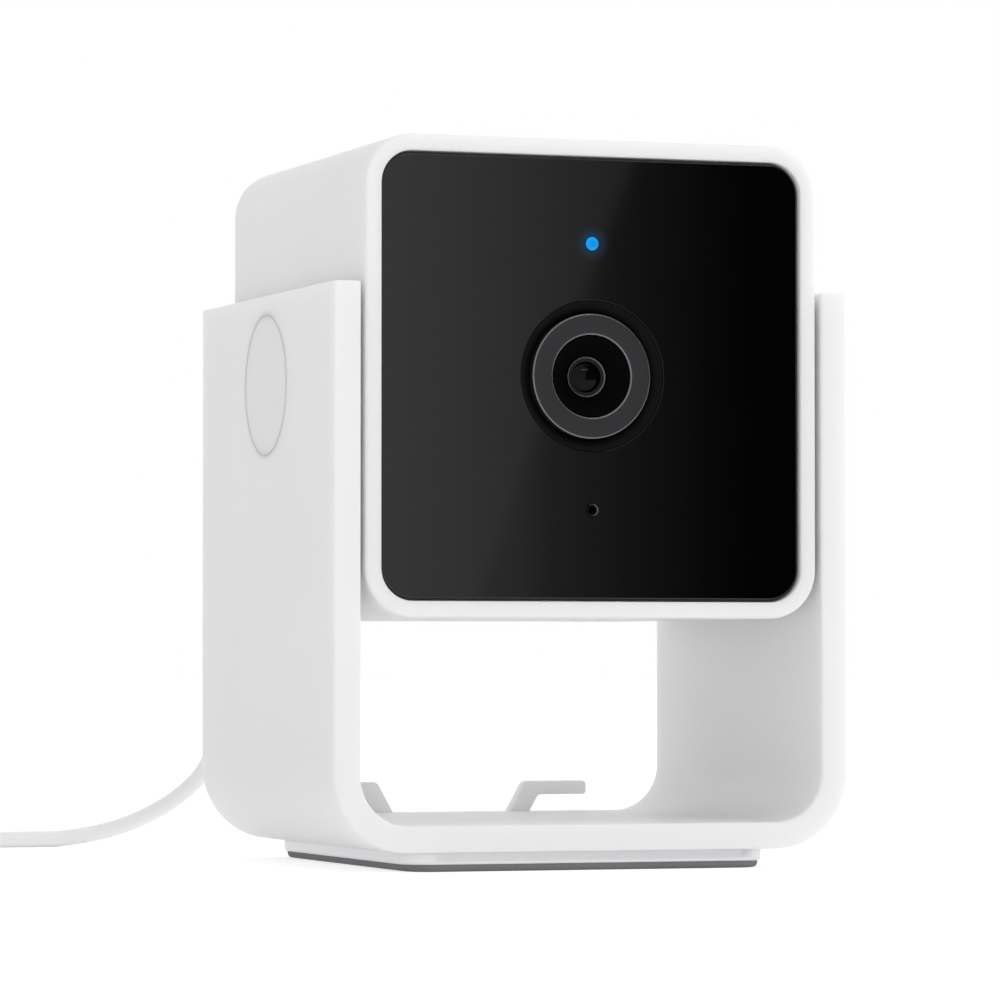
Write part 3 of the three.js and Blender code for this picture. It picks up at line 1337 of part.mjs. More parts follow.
const statusLed = onFrontBoard(STATUS_LED_WIDTH, STATUS_LED_WIDTH / 2, STATUS_LED_HEIGHT, 0, STATUS_LIGHT_Z);
add(head, "status_led", statusLed, blueLight());
add(head, "microphone", onFrontBoard(MIC_SIZE, MIC_SIZE, MIC_THICKNESS, 0, MIC_Z), steel());
const sensorHalf = SENSOR_SIZE / 2;
const sensor = box(
  [-sensorHalf, CAMERA_BOARD_FRONT - SENSOR_THICKNESS, LENS_RISE - sensorHalf],
  [sensorHalf, CAMERA_BOARD_FRONT, LENS_RISE + sensorHalf],
);
add(head, "image_sensor", sensor, blackMatt());

const chipY = MAIN_BOARD_FRONT + 2 * RIBBON_LAP + PROCESSOR_SIZE / 2 + FACE_GAP;
const processor = onMainBoard(PROCESSOR_SIZE, PROCESSOR_SIZE, PROCESSOR_THICKNESS, -RIBBON_WIDTH / 2, chipY);
add(head, "processor", processor, blackMatt());
const wifiX = (RIBBON_WIDTH + WIFI_WIDTH) / 2 + FACE_GAP;
const wifiY = MAIN_BOARD_FRONT + WIFI_DEPTH / 2 + FACE_GAP;
add(head, "wifi_module", onMainBoard(WIFI_WIDTH, WIFI_DEPTH, WIFI_THICKNESS, wifiX, wifiY), steel());

FOUR_CORNERS.forEach(([sx, sz], i) => {
  const led = onFrontBoard(IR_LED_SIZE, IR_LED_SIZE, IR_LED_HEIGHT, sx * IR_LED_X, sz * IR_LED_Z);
  add(head, "ir_led_" + (i + 1), led, glass());
  add(head, "carrier_screw_" + (i + 1), carrierScrew([sx, sz]), steel());
});

for (const [name, [sx, sz]] of Object.entries(cameraScrewPlaces)) {
  const screw = boardScrew(CAMERA_BOARD_THICKNESS);
  screw.translate(sx * STANDOFF_OFFSET, CAMERA_BOARD_BACK, LENS_RISE + sz * STANDOFF_OFFSET);
  add(head, "camera_screw_" + name, screw, steel());
}

for (const [name, [x, y]] of Object.entries(mainScrewPlaces())) {
  const screw = boardScrew(MAIN_BOARD_THICKNESS).rotateX(Math.PI / 2);
  add(head, "board_screw_" + name, screw.translate(x, y, MAIN_BOARD_TOP), steel());
}

for (const [name, side] of Object.entries(SIDES)) {
  add(stand, "plate_screw_" + name, plateScrew(side), steel());
  add(stand, "pivot_cap_" + name, pivotCap(side).translate(0, 0, PIVOT_Z), whitePlastic());
  add(stand, "friction_washer_" + name, frictionWasher(side).translate(0, 0, PIVOT_Z), acetal());
  add(head, "pivot_hub_" + name, pivotHub(side), brass());
  add(head, "pivot_screw_" + name, pivotScrew(side), steel());
}

const free = powerLead();
const tail = leadTail();
const coil = coilPoints();
add(lead, "power_lead", free.geometry, whitePlastic());
add(lead, "lead_coil", tubeThrough(coil, CORD_RADIUS, COIL_SIDES), whitePlastic());
add(lead, "lead_tie", leadTie(), blackMatt());
add(lead, "lead_tail", tail.geometry, whitePlastic());
add(lead, "supply_plug", supplyPlug(), whitePlastic());
add(lead, "supply_contact", supplyContact(), steel());

const coilLength = lengthOf(coil);
console.log("lead_coil: least gap between turns " + leastGap(coil).toFixed(2) + " mm");
console.log("lead: " + (free.length + coilLength + tail.length).toFixed(0) + " mm from plug to plug");

export default camera;
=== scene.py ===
# %% [markdown]
# # A cube-shaped pet camera in its yoke
#
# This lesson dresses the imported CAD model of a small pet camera: a white square head with a
# glossy black front, hung between the arms of a U-shaped yoke, and its power lead. Each
# piece that shows is made again with finer edges, and stands in for the CAD node that it
# follows.

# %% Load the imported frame
import math

import bmesh
import bpy
from mathutils import Matrix, Vector


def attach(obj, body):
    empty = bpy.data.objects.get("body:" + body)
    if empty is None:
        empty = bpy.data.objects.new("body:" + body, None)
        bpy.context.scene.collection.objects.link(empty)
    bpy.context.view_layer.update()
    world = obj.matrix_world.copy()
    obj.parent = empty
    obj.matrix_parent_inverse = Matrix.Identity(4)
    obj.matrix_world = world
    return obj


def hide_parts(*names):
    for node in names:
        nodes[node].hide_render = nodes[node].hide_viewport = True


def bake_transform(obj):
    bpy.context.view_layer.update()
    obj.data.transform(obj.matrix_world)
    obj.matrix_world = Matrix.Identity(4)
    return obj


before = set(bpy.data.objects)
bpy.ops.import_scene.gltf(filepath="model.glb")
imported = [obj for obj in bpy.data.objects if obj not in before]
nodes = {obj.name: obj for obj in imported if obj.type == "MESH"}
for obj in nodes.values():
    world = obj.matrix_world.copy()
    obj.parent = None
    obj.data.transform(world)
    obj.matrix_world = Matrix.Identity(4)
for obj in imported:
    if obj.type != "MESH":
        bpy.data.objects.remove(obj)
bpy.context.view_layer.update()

MM = 0.001  # every size below is in millimetres, and meshes are in metres

# %% [markdown]
# ## The camera that takes the picture
#
# A product photograph from a little way off has nearly parallel edges, so its lens is long.
# The eye's place, turn and focal length were fitted to the edges of the real object.

# %% Camera
EYE = (-198.97, -557.53, 23.14)
YAW_DEG = 19.45
PITCH_DEG = 1.82
FOCAL_PIXELS = 5101
FRAME_PIXELS = 1000
SENSOR = 36

yaw, pitch = math.radians(YAW_DEG), math.radians(PITCH_DEG)
view_line = Vector((
    math.sin(yaw) * math.cos(pitch),
    math.cos(yaw) * math.cos(pitch),
    math.sin(pitch),
))
camera_data = bpy.data.cameras.new("photograph_camera")
camera_data.sensor_width = SENSOR
camera_data.lens = SENSOR * FOCAL_PIXELS / FRAME_PIXELS
camera_data.clip_start = 0.01
camera = bpy.data.objects.new("photograph_camera", camera_data)
camera.location = Vector(EYE) * MM
camera.rotation_euler = view_line.to_track_quat("-Z", "Y").to_euler()
bpy.context.scene.collection.objects.link(camera)
bpy.context.scene.camera = camera
bpy.context.scene.view_settings.view_transform = "Standard"

# %% [markdown]
# ## One helper for every node
#
# Shader and geometry trees are built in code. One function adds a node, sets it up, and fills
# or links its inputs, so a tree reads like a recipe.

# %% Helpers for nodes and objects
def feed(made, inputs):
    """Fills a node's inputs. Each is a value, or a node or a socket to link from."""
    for key, value in dict(inputs).items():
        if isinstance(value, bpy.types.Node):
            value = value.outputs[0]
        if isinstance(value, bpy.types.NodeSocket):
            made.id_data.links.new(value, made.inputs[key])
        else:
            made.inputs[key].default_value = value
    return made


def node(tree, kind, inputs=(), **settings):
    """Adds a node. A kind without Node in its name is short for a shader node."""
    made = tree.nodes.new(kind if "Node" in kind else "ShaderNode" + kind)
    for name, value in settings.items():
        setattr(made, name, value)
    return feed(made, inputs)


def calc(tree, operation, first, second=0.0):
    """The result of one operation on two numbers."""
    return node(tree, "Math", {0: first, 1: second}, operation=operation)


def in_scene(name, data):
    """A new object that is linked to the scene."""
    made = bpy.data.objects.new(name, data)
    bpy.context.scene.collection.objects.link(made)
    return made


def geometry_tree(name, sizes):
    """An empty geometry tree with named inputs: its tree, its inputs and a way to end it."""
    tree = bpy.data.node_groups.new(name, "GeometryNodeTree")
    tree.interface.new_socket("Geometry", in_out="INPUT", socket_type="NodeSocketGeometry")
    for label, kind in sizes.items():
        tree.interface.new_socket(label, in_out="INPUT", socket_type="NodeSocket" + kind)
    tree.interface.new_socket("Geometry", in_out="OUTPUT", socket_type="NodeSocketGeometry")
    given = node(tree, "NodeGroupInput").outputs

    def end(geometry, material):
        real = node(tree, "GeometryNodeRealizeInstances", {0: geometry})
        painted = node(tree, "GeometryNodeSetMaterial", {0: real, "Material": material})
        node(tree, "NodeGroupOutput", {0: painted})

    return tree, given, end


def copies(tree, points, original, **more):
    """A copy of an object on each point."""
    shown = node(tree, "GeometryNodeObjectInfo", {"Object": original}).outputs["Geometry"]
    return node(tree, "GeometryNodeInstanceOnPoints", {"Points": points, "Instance": shown, **more})


def run_tree(piece, tree, values):
    """Puts a tree on a piece with its input values, and keeps the result as a plain mesh."""
    modifier = piece.modifiers.new(tree.name, "NODES")
    modifier.node_group = tree
    for item in tree.interface.items_tree:
        if item.in_out == "INPUT" and item.name in values:
            modifier[item.identifier] = values[item.name]
    return settle(piece)


def settle(piece):
    """Replaces a piece and its modifiers by a plain mesh object of the same name."""
    bpy.context.view_layer.update()
    graph = bpy.context.evaluated_depsgraph_get()
    mesh = bpy.data.meshes.new_from_object(
        piece.evaluated_get(graph), preserve_all_data_layers=True, depsgraph=graph
    )
    name = piece.name
    bpy.data.objects.remove(piece)
    settled = in_scene(name, mesh)
    settled.name = mesh.name = name
    return settled


# %% [markdown]
# ## Finishes
#
# Every finish starts from the real material: what it is, and how its surface was made.
# Colours are sRGB hex values, which one function turns linear. Patterns read Object
# coordinates in metres, so a pattern of 0.3 mm gets a scale of one over 0.0003.

# %% Colour and pattern helpers
def linear(hex_colour):
    """A linear RGBA colour from an sRGB hex value."""
    parts = [int(hex_colour[i:i + 2], 16) / 255 for i in (1, 3, 5)]
    return [p / 12.92 if p <= 0.04045 else ((p + 0.055) / 1.055) ** 2.4 for p in parts] + [1]


def finish(name, shader_kind="BsdfPrincipled"):
    """A new material: its tree, its shader and its Object coordinates."""
    material = bpy.data.materials.new(name)
    material.use_nodes = True
    tree = material.node_tree
    tree.nodes.clear()
    shader = node(tree, shader_kind)
    node(tree, "OutputMaterial", {"Surface": shader})
    place = node(tree, "TexCoord").outputs["Object"]
    return material, tree, shader, place


def mottle(tree, place, size, detail=2.0):
    """Soft noise whose blotches are about size millimetres across."""
    return node(tree, "TexNoise", {"Vector": place, "Scale": 1 / (size * MM), "Detail": detail})


def spread(tree, value, low=0, high=1):
    """Stretches noise, which stays near one half, to run from low to high."""
    return node(tree, "MapRange", {"Value": value, 1: 0.3, 2: 0.7, 3: low, 4: high})


def tint(tree, value, first, second):
    """A colour between two hex colours."""
    inputs = {0: value, 6: linear(first), 7: linear(second)}
    return node(tree, "Mix", inputs, data_type="RGBA").outputs[2]


def relief(tree, height, depth):
    """A normal for a surface that rises by depth millimetres where height is 1."""
    return node(tree, "Bump", {"Height": height, "Distance": depth * MM})


# %% [markdown]
# Injection-moulded plastic copies the steel of its mould. A spark-eroded mould leaves a fine
# even grain that softens the highlight, and the plastic's flow leaves slow changes in gloss.
# White plastic also lets light in for a millimetre or so, which brightens its edges and
# narrow gaps. Matt black pieces in a lens are made to reflect next to nothing.

# %% Moulded plastics
FLOW_SIZE = 14


def moulded(name, colour, shade, roughness, grain=0.3, depth=0.004, gleam=0.5, light_reach=0.0):
    """Grain, depth and light_reach are in millimetres."""
    material, tree, shader, place = finish(name)
    if light_reach:
        feed(shader, {
            "Subsurface Weight": 1, "Subsurface Radius": (1, 0.98, 0.97),
            "Subsurface Scale": light_reach * MM,
        })
    flow = mottle(tree, place, FLOW_SIZE)
    feed(shader, {
        "IOR": 1.53, "Specular IOR Level": gleam,
        "Base Color": tint(tree, spread(tree, flow), colour, shade),
        "Roughness": spread(tree, flow, roughness - 0.03, roughness + 0.03),
        "Normal": relief(tree, mottle(tree, place, grain, 3), depth),
    })
    return material


WHITE_SHELL = moulded("ABS_white_spark_eroded", "#FAF9FA", "#F8F7F8", 0.42, light_reach=1.4)
WHITE_PLUG = moulded("TPE_white_overmoulded", "#F2F2F2", "#EEEEED", 0.5, 0.4, 0.006, light_reach=0.8)
BLACK_PLASTIC = moulded("ABS_black_spark_eroded", "#0A0A0B", "#0C0C0D", 0.55, gleam=0.06)
BLACK_DISH = moulded("ABS_black_lens_dish", "#030303", "#040404", 0.65, gleam=0.03)
GREY_RING = moulded("PC_dark_grey_lens_ring", "#2D2D2F", "#2F2F31", 0.4, 0.2, 0.002, gleam=0.15)
GREY_RETAINER = moulded("PC_grey_lens_retainer", "#101011", "#131314", 0.35, 0.2, 0.002, gleam=0.12)
ACETAL = moulded("acetal_natural_turned", "#E6E4DC", "#E2DFD6", 0.45, 0.5, 0.003)
RIBBON = moulded("polyimide_flat_cable", "#B5772B", "#C08438", 0.35, 0.6, 0.002)

# %% [markdown]
# The front is cast acrylic, dyed so dark that only infrared passes. It is polished, with a
# very slight waviness that keeps reflections from being perfectly straight. Round the status
# light the sheet gets a painted blue glow: an emission on the panel that stands in for the
# light leaking into the sheet. The light itself is the end of a clear rod in front of an LED:
# a saturated blue, a little paler towards its rim.

# %% Polished acrylic with a painted glow round the status light, and the lit light guide
STATUS_LIGHT = (0, -25.1, 69.83)
GLOW_BLUE, GLOW_STRENGTH = "#12A0F0", 0.045
GLOW_FROM, GLOW_REACH = 0.7, 2.3
RIM_FROM, RIM_TO = 0.3, 0.75


def from_status_light(tree, place):
    inputs = {0: place, 1: Vector(STATUS_LIGHT) * MM}
    return node(tree, "VectorMath", inputs, operation="DISTANCE").outputs["Value"]


ACRYLIC, tree, shader, place = finish("acrylic_black_polished")
# painted glow: the panel emits blue that fades out from the status light, standing in for its light in the
# sheet
near = node(tree, "MapRange", {
    "Value": from_status_light(tree, place), 1: GLOW_FROM * MM, 2: GLOW_REACH * MM, 3: 1.0, 4: 0.0,
}, interpolation_type="SMOOTHERSTEP")
painted_glow = [c * GLOW_STRENGTH for c in linear(GLOW_BLUE)[:3]] + [1]
feed(shader, {
    "IOR": 1.49, "Roughness": 0.035, "Emission Strength": 1.0,
    "Base Color": tint(tree, spread(tree, mottle(tree, place, 6)), "#030303", "#040404"),
    "Emission Color": node(tree, "Mix", {0: near, 6: (0, 0, 0, 1), 7: painted_glow}, data_type="RGBA").outputs[2],
    "Normal": relief(tree, mottle(tree, place, 9, 0), 0.0015),
})

LIGHT_GUIDE, tree, shader, place = finish("acrylic_light_guide_lit")
rim = node(tree, "MapRange", {"Value": from_status_light(tree, place), 1: RIM_FROM * MM, 2: RIM_TO * MM})
feed(shader, {
    "Emission Color": tint(tree, rim, "#0090F2", "#1FA2E6"), "Emission Strength": 1.04,
    "Base Color": linear("#020A10"), "Roughness": 0.15, "Specular IOR Level": 0.08,
})

# %% [markdown]
# Metals keep the default IOR: their look is in the base colour, the metallic switch and the
# roughness. Bead blasting leaves an even dull grain, plating follows the brushed steel under
# it, and brass is turned, so it shows fine rings. The cut edges of the lens rings shine like
# a metal too, so they share the recipe.

# %% Metals
def metal(name, colour, shade, roughness, grain, depth, stretch=(1, 1, 1)):
    material, tree, shader, place = finish(name)
    fine = mottle(tree, node(tree, "Mapping", {"Vector": place, "Scale": stretch}), grain, 4)
    feed(shader, {
        "Metallic": 1, "Base Color": tint(tree, spread(tree, fine), colour, shade),
        "Roughness": spread(tree, fine, roughness - 0.05, roughness + 0.05),
        "Normal": relief(tree, fine, depth),
    })
    return material


ALUMINIUM = metal("aluminium_bead_blasted", "#DEDEE0", "#E4E4E6", 0.42, 0.25, 0.003)
STEEL = metal("steel_nickel_plated", "#C2C1BD", "#CBCAC6", 0.28, 0.4, 0.002, (1, 8, 1))
BRASS = metal("brass_turned", "#B4924F", "#BE9C58", 0.3, 0.4, 0.002, (10, 1, 1))
BRIGHT_EDGE = metal("PC_ring_edge_diamond_cut", "#6C6C70", "#747478", 0.28, 0.5, 0.001)

# %% [markdown]
# Rubber is dull and holds dust in fine pits. The cord's jacket is soft PVC, extruded, so it
# is smooth with slow ripples along it. The strap round the coil is hook-and-loop tape, whose
# loops are drawn at their real half millimetre. Boards are glass fibre under a green mask.

# %% Rubber, cord, strap, boards and glass
LOOP_SIZE, TRACK_SPACING = 0.5, 1.6
RUBBER = moulded("silicone_rubber_grey", "#757578", "#7D7D80", 0.75, 0.5, 0.02)
DARK_RUBBER = moulded("silicone_rubber_dark", "#060607", "#080809", 0.7, 0.5, 0.01, gleam=0.1)
JACKET = moulded("PVC_white_extruded", "#FBFAF9", "#F8F7F5", 0.38, 1.2, 0.01, light_reach=0.8)

STRAP, tree, shader, place = finish("nylon_hook_and_loop")
loops = node(tree, "TexVoronoi", {"Vector": place, "Scale": 1 / (LOOP_SIZE * MM)}).outputs["Distance"]
feed(shader, {
    "Base Color": tint(tree, loops, "#1A1A1B", "#3A3A3C"), "Roughness": 0.9, "Sheen Weight": 0.3,
    "Normal": relief(tree, loops, 0.12),
})

BOARD, tree, shader, place = finish("FR4_green_solder_mask")
cells = node(tree, "TexVoronoi", {
    "Vector": place, "Scale": 1 / (TRACK_SPACING * MM),
}, feature="DISTANCE_TO_EDGE", distance="CHEBYCHEV").outputs["Distance"]
tracks = node(tree, "MapRange", {"Value": cells, 1: 0.04, 2: 0.09})
feed(shader, {
    "Base Color": tint(tree, tracks, "#2F7A54", "#1A5237"), "Roughness": 0.35,
    "Normal": relief(tree, tracks, -0.03),
})

GLASS, tree, shader, place = finish("glass_lens_coated")
feed(shader, {
    "IOR": 1.6, "Roughness": 0.02, "Specular IOR Level": 0.08,
    "Base Color": tint(tree, spread(tree, mottle(tree, place, 1.5)), "#050607", "#08080A"),
})
print("finishes in all:", len(bpy.data.materials))

# %% [markdown]
# ## Shapes from outlines
#
# Nearly every piece here is an outline with rounded corners that is pushed through a depth,
# with its end edges rounded too. The outline's corners are arcs, and moving it inwards makes
# outer corners tighter and inner corners wider, just as a real fillet does.

# %% Outline and loft helpers
CORNER_STEPS = 14
EDGE_STEPS = 5
WELD = 0.2e-6


def rounded(points, radii, inset=0.0, steps=CORNER_STEPS):
    """The outline through points, given anticlockwise, with arcs at its corners."""
    if not hasattr(radii, "__len__"):
        radii = [radii] * len(points)
    outline = []
    for i, radius in enumerate(radii):
        before, here, after = (Vector(points[(i + k) % len(points)]) for k in (-1, 0, 1))
        incoming, outgoing = (here - before).normalized(), (after - here).normalized()
        turn = math.atan2(incoming.cross(outgoing), incoming.dot(outgoing))
        side = 1 if turn > 0 else -1
        left_in = Vector((-incoming.y, incoming.x))
        left_out = Vector((-outgoing.y, outgoing.x))
        moved = here + (left_in + left_out) * inset / (1 + left_in.dot(left_out))
        radius -= side * inset
        start = moved - incoming * radius * math.tan(abs(turn) / 2)
        centre = start + left_in * radius * side
        for k in range(steps + 1):
            outline.append(centre + Matrix.Rotation(turn * k / steps, 2) @ (start - centre))
    return outline


def rectangle(width, height, x=0.0, y=0.0):
    """A rectangle's corners, anticlockwise, about a middle."""
    half_w, half_h = width / 2, height / 2
    return [(x + sx * half_w, y + sy * half_h) for sx, sy in ((-1, -1), (1, -1), (1, 1), (-1, 1))]


def quarter(steps):
    """Pairs of sine and one minus cosine through a quarter turn."""
    turns = [k / steps * math.pi / 2 for k in range(steps + 1)]
    return [(math.sin(a), 1 - math.cos(a)) for a in turns]


def edge_steps(near, far, near_edge, far_edge):
    """Pairs of inset and depth that round a solid's two end edges."""
    pairs = [(near_edge * (1 - s), near + near_edge * c) for s, c in quarter(EDGE_STEPS)]
    return pairs + [(far_edge * c, far - far_edge * (1 - s)) for s, c in quarter(EDGE_STEPS)]


def finish_mesh(name, shape, material):
    """Welds a mesh, points its faces outwards, and makes it a piece with a finish."""
    bmesh.ops.remove_doubles(shape, verts=shape.verts, dist=WELD)
    bmesh.ops.dissolve_degenerate(shape, edges=shape.edges, dist=WELD)
    bmesh.ops.recalc_face_normals(shape, faces=shape.faces)
    mesh = bpy.data.meshes.new(name)
    shape.to_mesh(mesh)
    shape.free()
    mesh.materials.append(material)
    return in_scene(name, mesh)


def loft(name, rings, material, hoop=False):
    """A closed piece through rings of equal point counts, in millimetres."""
    shape = bmesh.new()
    rows = [[shape.verts.new(Vector(p) * MM) for p in ring] for ring in rings]
    for low, high in zip(rows, rows[1:] + rows[:hoop]):
        for i in range(len(low)):
            j = (i + 1) % len(low)
            shape.faces.new((low[i], low[j], high[j], high[i]))
    if not hoop:
        shape.faces.new(list(reversed(rows[0])))
        shape.faces.new(rows[-1])
    return finish_mesh(name, shape, material)


def rings_of(points, radii, pairs, steps, from_above=False):
    """Rings of an outline seen from the front or from above, at pairs of inset and depth."""
    rings = []
    for inset, depth in pairs:
        outline = rounded(points, radii, inset, steps)
        rings.append([(p.x, p.y, depth) if from_above else (p.x, depth, p.y) for p in outline])
    return rings


def slab(name, points, radii, depths, material, from_above=False, steps=CORNER_STEPS):
    """A piece from one outline. Its depths say near and far, then near and far edge rounding."""
    return loft(name, rings_of(points, radii, edge_steps(*depths), steps, from_above), material)


def turned(name, profile, material, centre=(0, 0, 0), axis="Y", segments=96):
    """A piece turned on a lathe from a closed profile of radius and place along its axis."""
    shape = bmesh.new()

    def point(radius, angle, along):
        u, v = radius * math.cos(angle), radius * math.sin(angle)
        place = {"X": (along, u, v), "Y": (u, along, v), "Z": (u, v, along)}[axis]
        return shape.verts.new((Vector(place) + Vector(centre)) * MM)

    rows = []
    for radius, along in profile:
        if radius == 0:
            rows.append([point(0, 0, along)] * segments)
        else:
            rows.append([point(radius, 2 * math.pi * k / segments, along) for k in range(segments)])
    closed = profile[0][0] > 0
    for low, high in zip(rows, rows[1:] + rows[:closed]):
        for i in range(segments):
            j = (i + 1) % segments
            corners = dict.fromkeys((low[i], low[j], high[j], high[i]))
            if len(corners) > 2:
                shape.faces.new(corners)
    return finish_mesh(name, shape, material)


def soft_profile(points, radii):
    """A lathe profile with its corners rounded. Points on the axis stay sharp."""
    return [tuple(p) for p in rounded(points, radii, steps=3)]


def combine(piece, tools, operation="DIFFERENCE"):
    """Cuts tools out of a piece, or joins them to it, as one closed mesh."""
    for tool in tools:
        step = piece.modifiers.new(tool.name, "BOOLEAN")
        step.object, step.operation, step.solver = tool, operation, "EXACT"
    settled = settle(piece)
    for tool in tools:
        bpy.data.objects.remove(tool)
    return settled


def dress(piece, body, *stands_for, slot, sharp=40):
    """Shades a finished piece, and says what it rides on and which CAD nodes it stands for."""
    mesh = piece.data
    mesh.shade_smooth()
    mesh.set_sharp_from_angle(angle=math.radians(sharp))
    piece.modifiers.new("flat_faces_stay_flat", "WEIGHTED_NORMAL").keep_sharp = True
    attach(piece, body)
    if stands_for:
        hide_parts(*stands_for)
    sizes = [round(s * 1000, 1) for s in piece.dimensions]
    print(f"{piece.name}: {sizes} mm, {len(mesh.polygons)} faces")


# %% [markdown]
# ## The power lead
#
# This is a 2 mm USB lead of about 1.9 m. It leaves the plug at the back of the head, falls
# behind the left arm, runs along the table, and the rest is wound into a neat round coil
# with a strap. The coil's nineteen turns follow a rule: flat spirals that run in and out
# again, each climbing a layer where it turns back.

# %% The lead's line
CORD_RADIUS = 1.0
COIL_LOOPS = 19.25
COIL_LAYERS = 4
COIL_STEPS = 40
COIL_PITCH = 2.45
COIL_MIDDLE_RADIUS = 15
COIL_BOTTOM = 1.65
LEAD_LANDS_Y = 64.65
HEAD_BACK = 26.85
SOCKET = (-14, 34.58)
PLUG_FRONT, PLUG_BACK, BOOT_TIP = 27.15, 38.15, 44.15
half_width = COIL_PITCH * COIL_LOOPS / COIL_LAYERS / 2
OUTER_RADIUS = COIL_MIDDLE_RADIUS + half_width
COIL_CENTRE = Vector((-79, LEAD_LANDS_Y - OUTER_RADIUS, 0))
LEAD_ROUTE = [
    (-14, BOOT_TIP - 0.5, 34.58), (-14, 47.2, 34.4), (-14.7, 50.4, 32.1), (-15.8, 52.6, 27.4),
    (-17.2, 54.1, 21.4), (-19.1, 55.6, 14.8), (-21.6, 57.3, 9), (-24.7, 60.2, 5.6),
    (-28.6, 62.8, 3.2), (-32.8, 64.2, 1.8), (-38.5, LEAD_LANDS_Y, CORD_RADIUS),
    (-44, LEAD_LANDS_Y, CORD_RADIUS), (-52, LEAD_LANDS_Y, CORD_RADIUS),
    (-61, LEAD_LANDS_Y, CORD_RADIUS), (-69, LEAD_LANDS_Y, COIL_BOTTOM),
    (-76.7, LEAD_LANDS_Y, COIL_BOTTOM),
]
SUPPLY_BOOT_TIP, SUPPLY_BACK, SUPPLY_FRONT, CONTACT_FRONT = 14.15, 8.15, -9.85, -21.85
TAIL_X = COIL_CENTRE.x - OUTER_RADIUS
TAIL_TOP = COIL_BOTTOM + COIL_PITCH * (COIL_LAYERS - 1)
PLUG_LIES = 4
TAIL = [(41.45, 1), (37.4, 1), (32, 0.97), (26.6, 0.62), (21.2, 0.14), (17.7, 0), (SUPPLY_BOOT_TIP - 0.5, 0)]

# the pairs of knots that each of the three rounds of the line blends between
NEIGHBOURS = [(0, 1), (1, 2), (2, 3)], [(0, 2), (1, 3)], [(1, 2)]


def smooth_line(points, spacing=1.0):
    """A centripetal Catmull-Rom line through points, sampled about every spacing."""
    points = [Vector(p) for p in points]
    padded = [2 * points[0] - points[1], *points, 2 * points[-1] - points[-2]]
    line = [points[0]]
    for quad in zip(padded, padded[1:], padded[2:], padded[3:]):
        knots = [0.0]
        for a, b in zip(quad, quad[1:]):
            knots.append(knots[-1] + (b - a).length ** 0.5)
        count = max(2, round((quad[2] - quad[1]).length / spacing))
        for k in range(1, count + 1):
            at = knots[1] + (knots[2] - knots[1]) * k / count
            level = quad
            for pairs in NEIGHBOURS:
                shares = [(at - knots[i]) / (knots[j] - knots[i]) for i, j in pairs]
                level = [a.lerp(b, share) for a, b, share in zip(level, level[1:], shares)]
            line.append(level[0])
    return line


def coil_line():
    """The coil's points, from the outer turn on the table to the outer turn on top."""
    loops_per_layer = COIL_LOOPS / COIL_LAYERS
    count = round(COIL_LOOPS * COIL_STEPS)
    line = []
    for i in range(count + 1):
        loops = COIL_LOOPS * i / count
        layer = min(int(loops / loops_per_layer), COIL_LAYERS - 1)
        inwards = loops / loops_per_layer - layer
        if layer % 2:
            inwards = 1 - inwards
        radius = OUTER_RADIUS - 2 * half_width * inwards
        climbed = 0
        for turn in range(1, COIL_LAYERS):
            share = min(max((loops - turn * loops_per_layer + 0.25) / 0.5, 0), 1)
            climbed += share * share * (3 - 2 * share)
        angle = math.pi / 2 + 2 * math.pi * loops
        height = COIL_BOTTOM + COIL_PITCH * climbed
        line.append(COIL_CENTRE + Vector((radius * math.cos(angle), radius * math.sin(angle), height)))
    return line


tail_points = [(TAIL_X, y, PLUG_LIES + (TAIL_TOP - PLUG_LIES) * share) for y, share in TAIL]
lead_line = smooth_line(LEAD_ROUTE) + coil_line() + smooth_line(tail_points)
for point in lead_line:  # a smooth line swings a little past its points, and the table stops it
    point.y, point.z = min(point.y, LEAD_LANDS_Y), max(point.z, CORD_RADIUS)
lead_length = sum((b - a).length for a, b in zip(lead_line, lead_line[1:]))
print("lead:", round(lead_length), "mm along", len(lead_line), "points")

# %% [markdown]
# The tube is a job for Geometry Nodes: a circle follows the line, and the ends are closed.

# %% The lead as a tube
LEAD_SIDES = 20
tube_tree, given, end = geometry_tree("tube_along_a_line", {"Radius": "Float", "Sides": "Int"})
circle = node(tube_tree, "GeometryNodeCurvePrimitiveCircle", {
    "Radius": given["Radius"], "Resolution": given["Sides"],
})
end(node(tube_tree, "GeometryNodeCurveToMesh", {
    "Curve": given["Geometry"], "Profile Curve": circle, "Fill Caps": True,
}), JACKET)

curve = bpy.data.curves.new("lead", "CURVE")
curve.dimensions = "3D"
spline = curve.splines.new("POLY")
spline.points.add(len(lead_line) - 1)
for point, at in zip(spline.points, lead_line):
    point.co = (*(at * MM), 1)
lead = run_tree(in_scene("lead", curve), tube_tree, {"Radius": CORD_RADIUS * MM, "Sides": LEAD_SIDES})
lead.data.shade_smooth()
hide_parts("power_lead", "lead_coil", "lead_tail")

# %% [markdown]
# ## The yoke
#
# The stand is one injection-moulded U: an outline seen from the front, pushed from front to
# back. A pair of mirrored hooks stands on the floor's back edge to hold the lead, and each
# arm has a stepped bore for the pivot: a bearing, a screw head's pocket and a cap's recess.

# %% Yoke outline and hooks
YOKE_BOTTOM, ARM_TOP = 2.15, 65.0
ARM_OUTSIDE, ARM_INSIDE = 30.5, 27.35
YOKE_FLOOR = 5.15
YOKE_HALF_DEPTH = 25.9
YOKE_EDGE = 0.3
PIVOT_Z = 54.73
TIP_ROUNDING = 0.35

